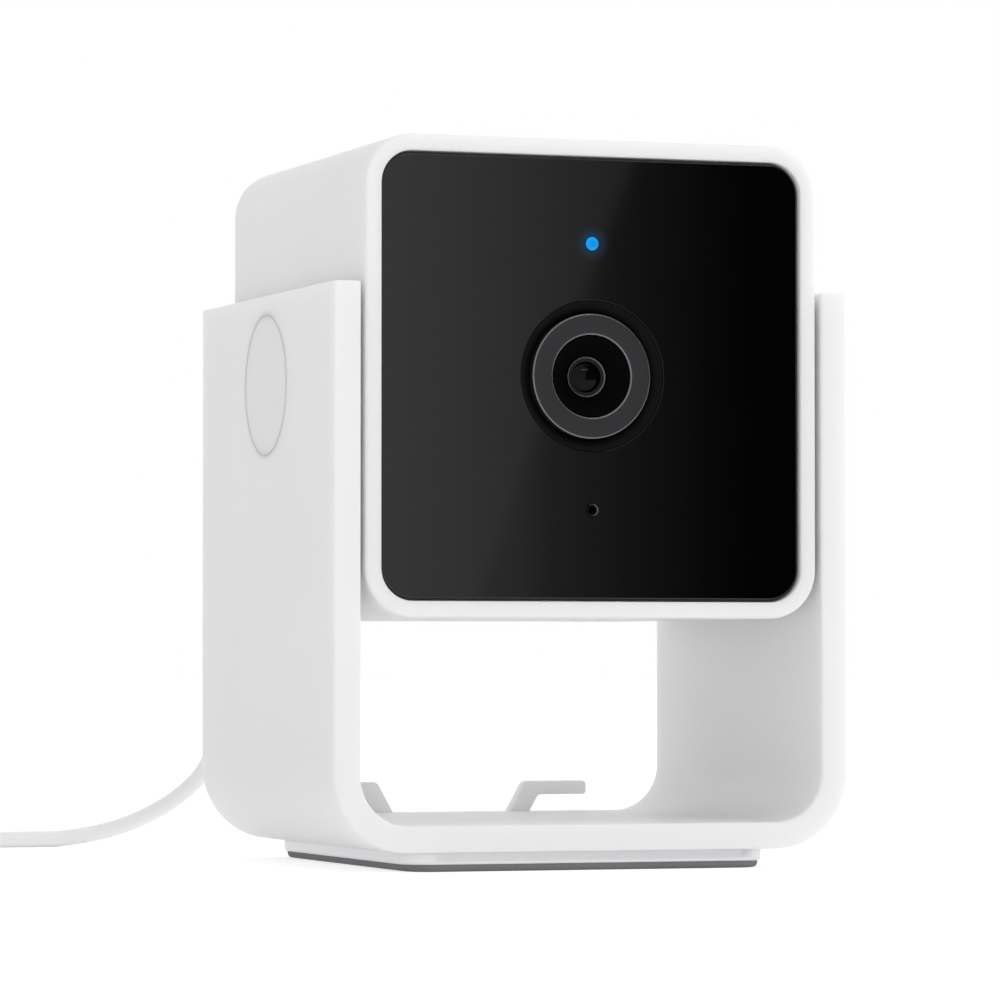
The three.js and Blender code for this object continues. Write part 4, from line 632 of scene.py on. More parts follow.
u_points = [
    (-ARM_OUTSIDE, ARM_TOP), (-ARM_OUTSIDE, YOKE_BOTTOM), (ARM_OUTSIDE, YOKE_BOTTOM),
    (ARM_OUTSIDE, ARM_TOP), (ARM_INSIDE, ARM_TOP), (ARM_INSIDE, YOKE_FLOOR),
    (-ARM_INSIDE, YOKE_FLOOR), (-ARM_INSIDE, ARM_TOP),
]
u_radii = [TIP_ROUNDING, 8.7, 8.7, TIP_ROUNDING, TIP_ROUNDING, 5.55, 5.55, TIP_ROUNDING]
u_depths = (-YOKE_HALF_DEPTH, YOKE_HALF_DEPTH, YOKE_EDGE, YOKE_EDGE)
yoke = slab("yoke_moulding", u_points, u_radii, u_depths, WHITE_SHELL, steps=20)

HOOK_LEAN = math.tan(math.radians(61))
HOOK_ROOT, HOOK_LEG, HOOK_REACH, HOOK_SUNK = 7.4, 2.55, 17.2, 0.5
TAB_UNDER, TAB_TOP = 2, 3.65


def hook(side):
    """One cable hook: a leaning leg with a level tab, seen from the front."""
    points = [
        (HOOK_ROOT - HOOK_SUNK / HOOK_LEAN, -HOOK_SUNK),
        (HOOK_ROOT + HOOK_LEG - HOOK_SUNK / HOOK_LEAN, -HOOK_SUNK),
        (HOOK_ROOT + HOOK_LEG + TAB_UNDER / HOOK_LEAN, TAB_UNDER), (HOOK_REACH, TAB_UNDER),
        (HOOK_REACH, TAB_TOP), (HOOK_ROOT + TAB_TOP / HOOK_LEAN, TAB_TOP),
    ]
    placed = [(side * x, YOKE_FLOOR + z) for x, z in points]
    radii = [0.25, 0.25, 0.6, 0.45, 0.45, 0.9]
    if side < 0:
        placed.reverse()
        radii.reverse()
    return slab("hook", placed, radii, (23.2, 25.2, 0.2, 0.2), WHITE_SHELL, steps=6)


yoke = combine(yoke, [hook(-1), hook(1)], "UNION")

# %% [markdown]
# Cutting tools run a little past the face that they cut.

# %% Pivot bores and screw holes
PIVOT_CENTRE = (0, 0, PIVOT_Z)
HUB_RADIUS, POCKET_RADIUS, POCKET_DEPTH = 4.4, 6.15, 2
CAP_RADIUS, CAP_DEPTH = 8, 1
RECESS_RADIUS, RECESS_CHAMFER = 8.015, 0.03
PLATE_SCREW_X = 14


def pivot_bore(side):
    """The stepped bore through one arm, from outside to inside."""
    outside = ARM_OUTSIDE
    profile = [
        (0, outside + 1), (RECESS_RADIUS + RECESS_CHAMFER + 1, outside + 1),
        (RECESS_RADIUS + RECESS_CHAMFER, outside), (RECESS_RADIUS, outside - RECESS_CHAMFER),
        (RECESS_RADIUS, outside - CAP_DEPTH), (POCKET_RADIUS, outside - CAP_DEPTH),
        (POCKET_RADIUS, outside - POCKET_DEPTH), (HUB_RADIUS, outside - POCKET_DEPTH),
        (HUB_RADIUS, ARM_INSIDE - 1), (0, ARM_INSIDE - 1),
    ]
    placed = [(radius, side * along) for radius, along in profile]
    return turned("pivot_bore", placed, WHITE_SHELL, PIVOT_CENTRE, "X", 128)


def plate_screw_hole(side):
    profile = [(0, 1.15), (0.9, 1.15), (0.9, 4.5), (0, 4.5)]
    return turned("screw_hole", profile, WHITE_SHELL, (side * PLATE_SCREW_X, 0, 0), "Z", 24)


yoke = combine(yoke, [pivot_bore(-1), pivot_bore(1), plate_screw_hole(-1), plate_screw_hole(1)])
dress(yoke, "stand", "yoke", slot="white_shell")

# %% [markdown]
# The round caps close the bores flush with the arms. Their seam is a hair line, so the cap's
# edge is only just broken. A thin washer sits between the head and each arm.

# %% Pivot caps and washers
CAP_BREAK = 0.03
WASHER_RADIUS, WASHER_INSIDE = 7, 26.85
for side, word in ((-1, "left"), (1, "right")):
    outside, under = side * ARM_OUTSIDE, side * (ARM_OUTSIDE - CAP_DEPTH)
    profile = [
        (0, under), (CAP_RADIUS, under), (CAP_RADIUS, outside - side * CAP_BREAK),
        (CAP_RADIUS - 0.01, outside - side * 0.01), (CAP_RADIUS - CAP_BREAK, outside), (0, outside),
    ]
    cap = turned(f"cap_{word}", profile, WHITE_SHELL, PIVOT_CENTRE, "X", 128)
    dress(cap, "stand", f"pivot_cap_{word}", slot="white_shell", sharp=60)
    inner, outer = side * WASHER_INSIDE, side * ARM_INSIDE
    section = [(HUB_RADIUS, inner), (WASHER_RADIUS, inner), (WASHER_RADIUS, outer), (HUB_RADIUS, outer)]
    washer = turned(f"washer_{word}", soft_profile(section[::side], 0.1), ACETAL, PIVOT_CENTRE, "X")
    dress(washer, "stand", f"friction_washer_{word}", slot="acetal")

# %% [markdown]
# ## Plate and pad
#
# The metal plate under the yoke gives the stand its weight, and the pad under it grips the
# table. Countersunk screws hold the plate, so it has two conical sinks underneath.

# %% Base plate and foot pad
PAD_TOP = 0.76
PLATE_OUTLINE, PLATE_CORNER = rectangle(43.1, 49.2), 3.6
PAD_OUTLINE, PAD_CORNER = rectangle(42.4, 48.5), 3.3


def plate_sink(side):
    profile = [(0, 0), (1.95, 0), (1.95, 1.1), (0.9, 1.7), (0.9, 3), (0, 3)]
    return turned("plate_sink", profile, ALUMINIUM, (side * PLATE_SCREW_X, 0, 0), "Z", 48)


plate = slab("stand_plate", PLATE_OUTLINE, PLATE_CORNER, (PAD_TOP, YOKE_BOTTOM, 0.4, 0.1), ALUMINIUM, True)
plate = combine(plate, [plate_sink(-1), plate_sink(1)])
dress(plate, "stand", "base_plate", slot="plate_metal")
pad = slab("grip_pad", PAD_OUTLINE, PAD_CORNER, (0, PAD_TOP, 0.6, 0.03), RUBBER, True)
dress(pad, "stand", "foot_pad", slot="rubber_parts")

# %% [markdown]
# ## The head shell
#
# The housing is a tub, open at the front, in one loft: it starts on the floor of the cavity,
# comes forwards along the inside wall, turns over the thin lip, goes back along the outside
# and closes over the rounded back. Every ring is the same rounded square, moved inwards.

# %% Head shell as one loft
HEAD_FRONT = -25.65
HEAD_WIDTH, HEAD_HEIGHT, HEAD_CORNER = 53.5, 53.4, 5.5
WALL, BACK_WALL = 1.84, 2.2
CAVITY_BACK = HEAD_BACK - BACK_WALL
CAVITY_EDGE, LIP_EDGE, FRONT_EDGE, BACK_EDGE = 0.6, 0.12, 0.35, 2.2

tub = [(WALL + CAVITY_EDGE * (1 - s), CAVITY_BACK - CAVITY_EDGE * c) for s, c in quarter(4)]
tub += [(WALL - LIP_EDGE * c, HEAD_FRONT + LIP_EDGE * (1 - s)) for s, c in quarter(3)]
tub += [(FRONT_EDGE * (1 - s), HEAD_FRONT + FRONT_EDGE * c) for s, c in quarter(6)]
tub += [(BACK_EDGE * c, HEAD_BACK - BACK_EDGE * (1 - s)) for s, c in quarter(12)]
head_corners = rectangle(HEAD_WIDTH, HEAD_HEIGHT, 0, PIVOT_Z)
shell = loft("head_housing", rings_of(head_corners, HEAD_CORNER, tub, 18), WHITE_SHELL)

# %% [markdown]
# Inside are the posts that the front chassis screws into, the bosses that carry the main
# board, and the rim round the speaker. They belong to the same moulding.

# %% Posts, bosses and speaker rim
POST_X, POST_Z = 21.5, 21.45
BOSS_X, BOARD_UNDERSIDE = 15.4, 31.58
SPEAKER_Z = 57.73
POST_FRONT, IN_BACK_WALL, IN_FLOOR = -21.6, 25.6, 29
post = [
    (0, -14.6), (0.95, -14.6), (0.95, POST_FRONT), (2.6, POST_FRONT), (2.6, IN_BACK_WALL), (0, IN_BACK_WALL),
]
boss = [
    (0, 29.53), (0.85, 29.53), (0.85, BOARD_UNDERSIDE), (2.2, BOARD_UNDERSIDE),
    (2.2, IN_FLOOR), (0, IN_FLOOR),
]
rim = [(13.15, 22.25), (14.35, 22.25), (14.35, IN_BACK_WALL), (13.15, IN_BACK_WALL)]
inside = [
    turned("post", post, WHITE_SHELL, (x, 0, z), "Y", 32)
    for x in (-POST_X, POST_X) for z in (PIVOT_Z - POST_Z, PIVOT_Z + POST_Z)
]
inside += [
    turned("boss", boss, WHITE_SHELL, (x, y, 0), "Z", 32) for x in (-BOSS_X, BOSS_X) for y in (0, 14.5)
]
inside.append(turned("speaker_rim", rim, WHITE_SHELL, (0, 0, SPEAKER_Z)))
shell = combine(shell, inside, "UNION")

# %% [markdown]
# The sound comes out through a grille of small holes in a hexagonal pattern. A Geometry
# Nodes tree makes its cutting tools: a grid whose every second row is moved by half a pitch,
# nothing beyond a reach, and one chamfered pin on each point that is left.

# %% Speaker grille
MOUTH_CHAMFER = 0.2


def mouth_pin(name, radius, segments):
    """A cutting pin along Y for a hole in the back wall, flared to chamfer the hole's mouth."""
    profile = [
        (0, CAVITY_BACK - 1), (radius, CAVITY_BACK - 1), (radius, HEAD_BACK - MOUTH_CHAMFER),
        (radius + MOUTH_CHAMFER + 0.5, HEAD_BACK + 0.5), (0, HEAD_BACK + 0.5),
    ]
    return turned(name, profile, WHITE_SHELL, segments=segments)


pin = mouth_pin("grille_pin", 0.8, 24)
tree, given, end = geometry_tree("pins_in_a_hexagonal_pattern", {
    "Pitch": "Float", "Rows": "Int", "Reach": "Float", "Pin": "Object", "Height": "Float",
})
pitch, rows = given["Pitch"], given["Rows"]
row_pitch = calc(tree, "MULTIPLY", pitch, math.sqrt(3) / 2)
gaps = calc(tree, "SUBTRACT", rows, 1)
grid = node(tree, "GeometryNodeMeshGrid", {
    "Size X": calc(tree, "MULTIPLY", gaps, pitch), "Size Y": calc(tree, "MULTIPLY", gaps, row_pitch),
    "Vertices X": rows, "Vertices Y": rows,
})
where = node(tree, "GeometryNodeInputPosition")
row = calc(tree, "DIVIDE", node(tree, "SeparateXYZ", {0: where}).outputs["Y"], row_pitch)
odd = calc(tree, "FLOORED_MODULO", calc(tree, "ROUND", row), 2)
half_shift = calc(tree, "MULTIPLY", calc(tree, "MULTIPLY", odd, pitch), 0.5)
moved = node(tree, "GeometryNodeSetPosition", {
    "Geometry": grid.outputs["Mesh"], "Offset": node(tree, "CombineXYZ", {"X": half_shift}),
})
from_middle = node(tree, "VectorMath", {0: where}, operation="LENGTH").outputs["Value"]
beyond = node(tree, "FunctionNodeCompare", {
    0: from_middle, 1: given["Reach"],
}, data_type="FLOAT", operation="GREATER_THAN")
kept = node(tree, "GeometryNodeDeleteGeometry", {0: moved, "Selection": beyond})
upright = node(tree, "GeometryNodeTransform", {
    "Geometry": kept, "Rotation": (math.pi / 2, 0, 0),
    "Translation": node(tree, "CombineXYZ", {"Z": given["Height"]}),
})
end(copies(tree, upright, given["Pin"]), WHITE_SHELL)

grille = run_tree(in_scene("grille_pins", bpy.data.meshes.new("grille_pins")), tree, {
    "Pitch": 2.8 * MM, "Rows": 9, "Reach": 8.5 * MM, "Pin": pin, "Height": SPEAKER_Z * MM,
})
print("grille holes:", len(grille.data.vertices) // len(pin.data.vertices))
bpy.data.objects.remove(pin)

# %% [markdown]
# The back wall also has the opening for the power plug and the hole of the setup button, and
# the pivots' hubs pass through the two side walls.

# %% Openings in the shell
BUTTON = (10, 35.83)
button_hole = mouth_pin("button_hole", 1.85, 64)
button_hole.data.transform(Matrix.Translation(Vector((BUTTON[0], 0, BUTTON[1])) * MM))
socket_steps = [(0, CAVITY_BACK - 1), (0, HEAD_BACK - 0.3), (-0.8, HEAD_BACK + 0.5)]
socket_rings = rings_of(rectangle(7.8, 3.1, *SOCKET), 0.85, socket_steps, 8)
bore = [(0, -30), (HUB_RADIUS, -30), (HUB_RADIUS, 30), (0, 30)]
shell = combine(shell, [
    grille, button_hole, loft("socket_opening", socket_rings, WHITE_SHELL),
    turned("hub_bore", bore, WHITE_SHELL, PIVOT_CENTRE, "X"),
])
dress(shell, "head", "head_shell", slot="white_shell")

# %% [markdown]
# ## The front
#
# The black panel sits in the shell's lip with a hair-line gap. Its rounded edge is polished
# like the face, so a bright line runs along it. The lens looks out of a round well, with the
# status light above it and the microphone below.

# %% Front panel
PANEL_FRONT, PANEL_BACK = -25.1, -23.6
PANEL_OUTLINE, PANEL_CORNER = rectangle(49.62, 49.52, 0, PIVOT_Z), 3.56
HOLE_CHAMFER = 0.03
LENS_Z = PIVOT_Z + 0.3
STATUS_Z, MIC_Z = LENS_Z + 14.8, LENS_Z - 14.95


def panel_hole(name, radius, z, segments=48):
    profile = [
        (0, PANEL_FRONT - 0.5), (radius + HOLE_CHAMFER + 0.5, PANEL_FRONT - 0.5),
        (radius, PANEL_FRONT + HOLE_CHAMFER), (radius, PANEL_BACK + 0.5), (0, PANEL_BACK + 0.5),
    ]
    return turned(name, profile, ACRYLIC, (0, 0, z), "Y", segments)


panel = slab("front_window", PANEL_OUTLINE, PANEL_CORNER, (PANEL_FRONT, PANEL_BACK, 0.35, 0.05), ACRYLIC)
panel = combine(panel, [
    panel_hole("well", 8.5, LENS_Z, 160),
    panel_hole("light_hole", 0.76, STATUS_Z),
    panel_hole("mic_hole", 0.78, MIC_Z),
])
dress(panel, "head", "front_panel", slot="gloss_panel", sharp=30)

# %% [markdown]
# The lens pieces are all turned on the optical axis: the sloping wall of the well, the grey
# ring of the barrel, the funnel, the retainer and the front element with its shallow dome.
# The rings' edges are cut bright, so those faces get a finish of their own.

# %% Lens pieces
LENS_CENTRE = (0, 0, LENS_Z)
LENS_FRONT, LENS_BACK, GLASS_FRONT, GLASS_BACK = -24.9, -10.9, -23.0, -21.8
RING_EDGE, RING_INNER, RING_OUTER = 0.2, 4.6, 7.04
DOME_RADIUS, DOME_RIM, DOME_STEPS = 4.064, 1.65, 12
JUST_BEHIND = 0.001


def bright_edge(piece, front, back):
    """Gives the bright finish to faces whose middles lie between two places along Y."""
    piece.data.materials.append(BRIGHT_EDGE)
    for face in piece.data.polygons:
        if front < face.center.y / MM < back:
            face.material_index = 1


wall = soft_profile([(7.19, -24.1), (8.48, -25.03), (8.48, -21.6), (7.19, -21.6)], [0.05, 0.08, 0.05, 0.05])
well_wall = turned("well_wall", wall, BLACK_PLASTIC, LENS_CENTRE, "Y", 160)
dress(well_wall, "head", "lens_surround", slot="black_plastic")

ring = [(0, GLASS_BACK), (RING_INNER, GLASS_BACK)]
ring += [(RING_INNER + RING_EDGE * c, LENS_FRONT + RING_EDGE * (1 - s)) for s, c in quarter(5)]
ring += [(RING_OUTER - RING_EDGE * (1 - s), LENS_FRONT + RING_EDGE * c) for s, c in quarter(5)]
ring += [(RING_OUTER, -17.9), (6, -17.9), (6, LENS_BACK), (0, LENS_BACK)]
barrel = turned("lens_ring", ring, GREY_RING, LENS_CENTRE, "Y", 160)
bright_edge(barrel, LENS_FRONT + JUST_BEHIND, LENS_FRONT + RING_EDGE)
dress(barrel, "head", "lens_barrel", slot="grey_ring", sharp=50)

funnel = turned("lens_funnel", soft_profile([
    (2.36, GLASS_FRONT), (4.3, LENS_FRONT + RING_EDGE), (4.5, LENS_FRONT + RING_EDGE),
    (4.5, GLASS_BACK), (2.36, GLASS_BACK),
], 0.04), BLACK_DISH, LENS_CENTRE, "Y", 128)
dress(funnel, "head", "lens_cone", slot="black_plastic")

clamp = turned("glass_clamp", [
    (1.75, GLASS_FRONT), (2.12, GLASS_FRONT - 0.13), (2.17, GLASS_FRONT - 0.18),
    (2.24, GLASS_FRONT - 0.18), (2.28, GLASS_FRONT - 0.14), (2.28, GLASS_BACK), (1.75, GLASS_BACK),
], GREY_RETAINER, LENS_CENTRE)
bright_edge(clamp, LENS_FRONT, GLASS_FRONT - 0.135)
dress(clamp, "head", "lens_retainer", slot="grey_ring")

dome = []
for k in range(DOME_STEPS + 1):
    turn = math.asin(DOME_RIM / DOME_RADIUS) * k / DOME_STEPS
    dome.append((DOME_RADIUS * math.sin(turn), GLASS_FRONT + DOME_RADIUS * (1 - math.cos(turn))))
element = turned("front_element", dome + [(DOME_RIM, GLASS_BACK), (0, GLASS_BACK)], GLASS, LENS_CENTRE)
dress(element, "head", "lens_glass", slot="lens_glass")

# %% Status light and microphone
guide = turned("status_light", [
    (0, PANEL_FRONT), (0.64, PANEL_FRONT), (0.7, PANEL_FRONT + 0.03), (0.72, PANEL_FRONT + 0.1),
    (0.72, PANEL_BACK), (1.2, PANEL_BACK), (1.2, PANEL_BACK + 1.3), (0, PANEL_BACK + 1.3),
], LIGHT_GUIDE, (0, 0, STATUS_Z), "Y", 48)
dress(guide, "head", "light_guide", slot="status_light")
MIC_SLOPE = 0.07
mic = turned("microphone_ring", [
    (0.4, PANEL_FRONT + 0.3), (0.58, PANEL_FRONT + MIC_SLOPE), (0.65, PANEL_FRONT), (0.74, PANEL_FRONT),
    (0.74, PANEL_BACK), (1.4, PANEL_BACK), (1.4, PANEL_BACK + 1), (0.4, PANEL_BACK + 1),
], DARK_RUBBER, (0, 0, MIC_Z), "Y", 48)
bright_edge(mic, PANEL_FRONT + JUST_BEHIND, PANEL_FRONT + MIC_SLOPE)
dress(mic, "head", "mic_boot", slot="rubber_parts", sharp=20)

# %% [markdown]
# ## The back
#
# A pressed-steel socket sits behind its opening. The setup button has a flange inside the
# wall and a stem that reaches its switch.

# %% Socket and button
shield, mouth = rectangle(7.5, 2.8, *SOCKET), rectangle(6.9, 2.2, *SOCKET)
socket_shell = slab("power_socket", shield, 0.7, (19.25, 26.25, 0.1, 0.05), STEEL, steps=8)
socket_shell = combine(socket_shell, [slab("mouth", mouth, 0.4, (19.85, 27.25, 0.05, 0), STEEL, steps=8)])
dress(socket_shell, "head", "usb_socket", slot="steel")

BUTTON_FRONT, BUTTON_RADIUS, BUTTON_EDGE = 27.2, 1.75, 0.3
stem = [(0, 22.65), (0.9, 22.65), (0.9, 23.85), (2.5, 23.85), (2.5, 24.65), (BUTTON_RADIUS, 24.65)]
stem += [(BUTTON_RADIUS - BUTTON_EDGE * c, BUTTON_FRONT - BUTTON_EDGE * (1 - s)) for s, c in quarter(5)]
stem += [(0.9, BUTTON_FRONT), (0.4, 27.12), (0, 27.1)]
button = turned("button_cap", stem, WHITE_SHELL, (BUTTON[0], 0, BUTTON[1]), "Y", 64)
dress(button, "button", "setup_button", slot="white_shell")

# %% [markdown]
# ## Plugs, boots and the strap
#
# Both plugs are moulded over their contacts, with a tapering boot behind each one. A Geometry
# Nodes tree places and scales the boot's soft ribs along its axis.

# %% Ribs along a tapering boot
RIB_RADIUS, RIB_THICKNESS, RIB_STEPS = 2.5, 0.7, 12
BOOT_LENGTH, BOOT_RIBS, BOOT_TAPER = 6, 3, 0.11
rib = turned("boot_rib", [
    (RIB_RADIUS - RIB_THICKNESS + RIB_THICKNESS * math.cos(a), RIB_THICKNESS * math.sin(a))
    for a in [2 * math.pi * k / RIB_STEPS for k in range(RIB_STEPS)]
], WHITE_PLUG, segments=48)
rib_tree, given, end = geometry_tree("ribs_that_taper", {
    "Count": "Int", "Start": "Vector", "Step": "Vector", "Taper": "Float", "Rib": "Object",
})
points = node(rib_tree, "GeometryNodeMeshLine", {
    "Count": given["Count"], "Start Location": given["Start"], "Offset": given["Step"],
})
number = node(rib_tree, "GeometryNodeInputIndex")
scale = calc(rib_tree, "SUBTRACT", 1, calc(rib_tree, "MULTIPLY", number, given["Taper"]))
end(copies(rib_tree, points, given["Rib"], Scale=scale), WHITE_PLUG)


def boot(x, y, z):
    """The two parts of a boot: a core that tapers to the cord with a soft lip, and its ribs."""
    core = turned("boot_core", [
        (0, y - 0.8), (2.15, y - 0.8), (2.15, y), (1.5, y + BOOT_LENGTH - 0.2),
        (1.4, y + BOOT_LENGTH), (0, y + BOOT_LENGTH),
    ], WHITE_PLUG, (x, 0, z), "Y", 48)
    step = BOOT_LENGTH / BOOT_RIBS
    ribs = run_tree(in_scene("ribs", bpy.data.meshes.new("ribs")), rib_tree, {
        "Count": BOOT_RIBS, "Start": Vector((x, y + step / 2 - 0.2, z)) * MM,
        "Step": Vector((0, step, 0)) * MM, "Taper": BOOT_TAPER, "Rib": rib,
    })
    return [core, ribs]


# %% Power plug and its contact
plug = slab("head_plug", rectangle(10.4, 6.8, *SOCKET), 2.6, (PLUG_FRONT, PLUG_BACK, 0.4, 0.8), WHITE_PLUG)
plug = combine(plug, boot(SOCKET[0], PLUG_BACK, SOCKET[1]), "UNION")
dress(plug, "head", "power_plug", slot="plug_plastic")
contact = slab(
    "head_plug_contact", rectangle(6.7, 1.75, *SOCKET), 0.437, (21.65, PLUG_FRONT, 0.12, 0.0), STEEL, steps=8,
)
dress(contact, "head", "plug_contact", slot="steel")

# %% Supply plug
body = rectangle(16, 8, TAIL_X, PLUG_LIES)
supply = slab("far_plug", body, 2.4, (SUPPLY_FRONT, SUPPLY_BACK, 0.4, 0.8), WHITE_PLUG)
supply = combine(supply, boot(TAIL_X, SUPPLY_BACK, PLUG_LIES), "UNION")
bpy.data.objects.remove(rib)
dress(supply, "stand", "supply_plug", slot="plug_plastic")

# %% [markdown]
# The far end has a flat plug: a folded steel shell with two square windows round a tongue.

# %% Supply plug's shell and tongue
flat = rectangle(12, 4.5, TAIL_X, PLUG_LIES)
hollow = rectangle(11.4, 3.9, TAIL_X, PLUG_LIES)
flat_shell = slab("far_plug_shell", flat, 0.5, (CONTACT_FRONT, SUPPLY_FRONT, 0.08, 0.0), STEEL, steps=6)
tools = [slab("hollow", hollow, 0.25, (CONTACT_FRONT - 1, SUPPLY_FRONT - 0.3, 0.0, 0.0), STEEL, steps=4)]
for side in (-1, 1):
    window = rectangle(2.2, 2.4, TAIL_X + side * 2.9, CONTACT_FRONT + 5.95)
    tools.append(slab("window", window, 0.15, (PLUG_LIES - 4, PLUG_LIES + 4, 0, 0), STEEL, True, 4))
flat_shell = combine(flat_shell, tools)
dress(flat_shell, "stand", "supply_contact", slot="steel")
tongue = slab("far_plug_tongue", rectangle(11.2, 1.9, TAIL_X, PLUG_LIES + 0.9), 0.2,
              (CONTACT_FRONT + 0.4, SUPPLY_FRONT - 0.3, 0.1, 0.0), BLACK_PLASTIC, steps=4)
dress(tongue, "stand", slot="black_plastic")

# %% [markdown]
# The strap is a plain band round the coil's section, across the windings.

# %% Strap round the coil
STRAP_TURN = math.radians(305)
outwards = Vector((math.cos(STRAP_TURN), math.sin(STRAP_TURN), 0))
across = Vector((-outwards.y, outwards.x, 0))
strap_middle = COIL_CENTRE + outwards * COIL_MIDDLE_RADIUS
STRAP_WIDTH, STRAP_LENGTH, STRAP_HEIGHT = 4, 15.39, 10.65


def strap_ring(inset, along):
    outline = rounded(rectangle(STRAP_LENGTH, STRAP_HEIGHT, 0, STRAP_HEIGHT / 2), 1.5, inset, 10)
    return [strap_middle + outwards * p.x + across * along + Vector((0, 0, p.y)) for p in outline]


half_strap = STRAP_WIDTH / 2
strap_rings = [strap_ring(*pair) for pair in (
    (0.1, -half_strap), (0, -half_strap + 0.1), (0, half_strap - 0.1), (0.1, half_strap),
    (0.4, half_strap), (0.5, half_strap - 0.1), (0.5, -half_strap + 0.1), (0.4, -half_strap),
)]
strap = loft("coil_strap", strap_rings, STRAP, hoop=True)
dress(strap, "stand", "lead_tie", slot="tie_strap")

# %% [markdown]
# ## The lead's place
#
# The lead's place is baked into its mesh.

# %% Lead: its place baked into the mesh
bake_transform(lead)

# %% [markdown]
# ## Pieces kept from the CAD model
#
# Screws, boards and the other pieces inside stay as in the CAD model, each in a finish.

# %% Finishes for the inner pieces
INNER_FINISHES = {
    DARK_RUBBER: ("speaker_gasket",),
    STEEL: (
        "plate_screw", "pivot_screw", "carrier_screw", "camera_screw", "board_screw",
        "microphone", "wifi_module",
    ),
    BRASS: ("pivot_hub", "antenna"),
    BLACK_PLASTIC: ("front_carrier", "lens_holder", "setup_switch", "speaker", "processor"),
    BOARD: ("front_board", "camera_board", "main_board"),
    RIBBON: ("camera_ribbon",),
    GLASS: ("ir_led", "image_sensor"),
    LIGHT_GUIDE: ("status_led",),
}
dressed = 0
for name, piece in nodes.items():
    for material, words in INNER_FINISHES.items():
        if name.startswith(words):
            piece.data.materials.clear()
            piece.data.materials.append(material)
            dressed += 1
            break
print("CAD nodes with a finish:", dressed)

# %% [markdown]
# ## White studio
#
# The table and the background come out pure white while a much gentler sky lights the
# object. The light path tells which ray is asking: the camera, mirrors and clear things see
# white, and everything else sees the dimmer studio. Its sky is brighter towards the right
# and upwards, so that faces stand off each other, and its table glows faintly.

# %% World and table
SKY = 0.76
SKY_SLOPE = (0.36, 0, 0.2)
TABLE_HALF = 6000
TABLE_GLOW, SHADOW_LIFT = 0.14, 0.62
WHITE = (1, 1, 1, 1)


def seen_directly(tree):
    """1 for camera, mirror and see-through rays, 0 for all other rays."""
    ray = node(tree, "LightPath").outputs
    first = calc(tree, "MAXIMUM", ray["Is Camera Ray"], ray["Is Glossy Ray"])
    return calc(tree, "MAXIMUM", first, ray["Is Transmission Ray"])


def flat_piece(name, corners, material):
    """A single rectangle, from its corners in millimetres."""
    mesh = bpy.data.meshes.new(name)
    mesh.from_pydata([Vector(corner) * MM for corner in corners], [], [(0, 1, 2, 3)])
    mesh.materials.append(material)
    return in_scene(name, mesh)


world = bpy.data.worlds.new("white_studio")
world.use_nodes = True
tree = world.node_tree
tree.nodes.clear()
direction = node(tree, "TexCoord").outputs["Generated"]
slope = node(tree, "VectorMath", {0: direction, 1: SKY_SLOPE}, operation="DOT_PRODUCT").outputs["Value"]
node(tree, "OutputWorld", {"Surface": node(tree, "MixShader", {
    0: seen_directly(tree),
    1: node(tree, "Background", {"Color": WHITE, "Strength": calc(tree, "ADD", slope, SKY)}),
    2: node(tree, "Background", {"Color": WHITE, "Strength": 1.0}),
})})
bpy.context.scene.world = world

PAPER, tree, shader, place = finish("seamless_paper_white", "MixShader")
feed(shader, {0: seen_directly(tree)})
for seen, (colour, light) in enumerate((("#F8F8F8", TABLE_GLOW), ("#C8C8C8", SHADOW_LIFT))):
    feed(shader, {1 + seen: node(tree, "AddShader", {
        0: node(tree, "BsdfDiffuse", {"Color": linear(colour)}),
        1: node(tree, "Emission", {"Color": WHITE, "Strength": light}),
    })})
table = flat_piece("table", [(x, y, 0) for x, y in rectangle(2 * TABLE_HALF, 2 * TABLE_HALF)], PAPER)

# %% [markdown]
# The polished front mirrors what stands behind the camera. In the photograph that is a soft
# box, so a card that only mirrors can see stands there. Its brightness falls off across it
# in Object coordinates, in two falls that meet at a slanted step.

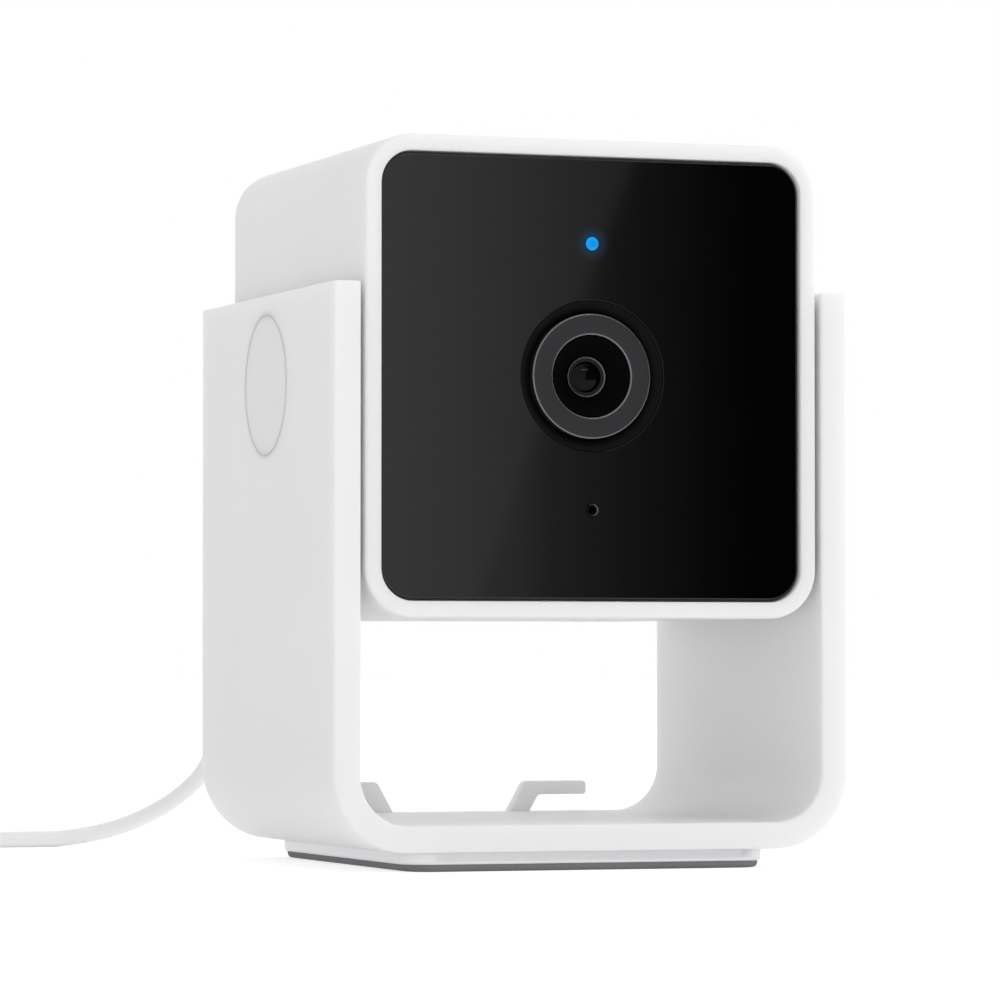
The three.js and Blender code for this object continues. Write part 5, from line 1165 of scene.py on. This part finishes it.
# %% Card for the mirror image
CARD_Y, CARD_LEFT, CARD_RIGHT, CARD_TOP = -600, 120, 900, 620
FALL_FROM, FALL_TO = 160, 270
NEAR_SIDE = [(0.0, 0.95), (0.18, 0.79), (0.4, 0.54), (0.54, 0.39), (1.0, 0.3)]
FAR_SIDE = [(0.32, 0.51), (0.4, 0.31), (0.58, 0.135), (0.76, 0.037), (0.86, 0.0)]
STEP_AT, STEP_LEAN, STEP_WIDTH = 173.3, 0.367, 2.5
CARD, tree, shader, place = finish("soft_box_card", "Emission")
split = node(tree, "SeparateXYZ", {0: place})
along = node(tree, "MapRange", {"Value": split.outputs["X"], 1: FALL_FROM * MM, 2: FALL_TO * MM})


def fall_off(stops):
    """A brightness that runs across the card through stops."""
    made = node(tree, "ValToRGB", {0: along})
    ramp = made.color_ramp
    while len(ramp.elements) < len(stops):
        ramp.elements.new(0.5)
    for element, (at, light) in zip(ramp.elements, stops):
        element.position = at
        element.color = (light, light, light, 1)
    return made


lean = calc(tree, "MULTIPLY", split.outputs["Z"], STEP_LEAN)
beyond = node(tree, "MapRange", {
    "Value": calc(tree, "SUBTRACT", split.outputs["X"], lean),
    1: (STEP_AT - STEP_WIDTH) * MM, 2: (STEP_AT + STEP_WIDTH) * MM,
}, interpolation_type="SMOOTHSTEP")
both_sides = {0: beyond, 6: fall_off(NEAR_SIDE), 7: fall_off(FAR_SIDE)}
feed(shader, {"Color": node(tree, "Mix", both_sides, data_type="RGBA").outputs[2], "Strength": 1.0})
card_corners = [(CARD_LEFT, 0), (CARD_RIGHT, 0), (CARD_RIGHT, CARD_TOP), (CARD_LEFT, CARD_TOP)]
card = flat_piece("mirror_card", [(x, CARD_Y, z) for x, z in card_corners], CARD)
card.visible_camera = card.visible_diffuse = card.visible_shadow = card.visible_transmission = False

# %% [markdown]
# The sky does nearly all the lighting. One weak strip light, in front and to the right, puts
# a glint into the lens.

# %% Light
KEY_PLACE, KEY_AIM = Vector((168, -500, 301)), Vector((0, 0, 50))
KEY_WIDTH, KEY_HEIGHT, KEY_POWER = 190, 30, 0.1
key_data = bpy.data.lights.new("key_softbox", "AREA")
key_data.shape, key_data.energy = "RECTANGLE", KEY_POWER
key_data.size, key_data.size_y = KEY_WIDTH * MM, KEY_HEIGHT * MM
key = in_scene("key_softbox", key_data)
key.location = KEY_PLACE * MM
key.rotation_euler = (KEY_AIM - KEY_PLACE).to_track_quat("-Z", "Y").to_euler()
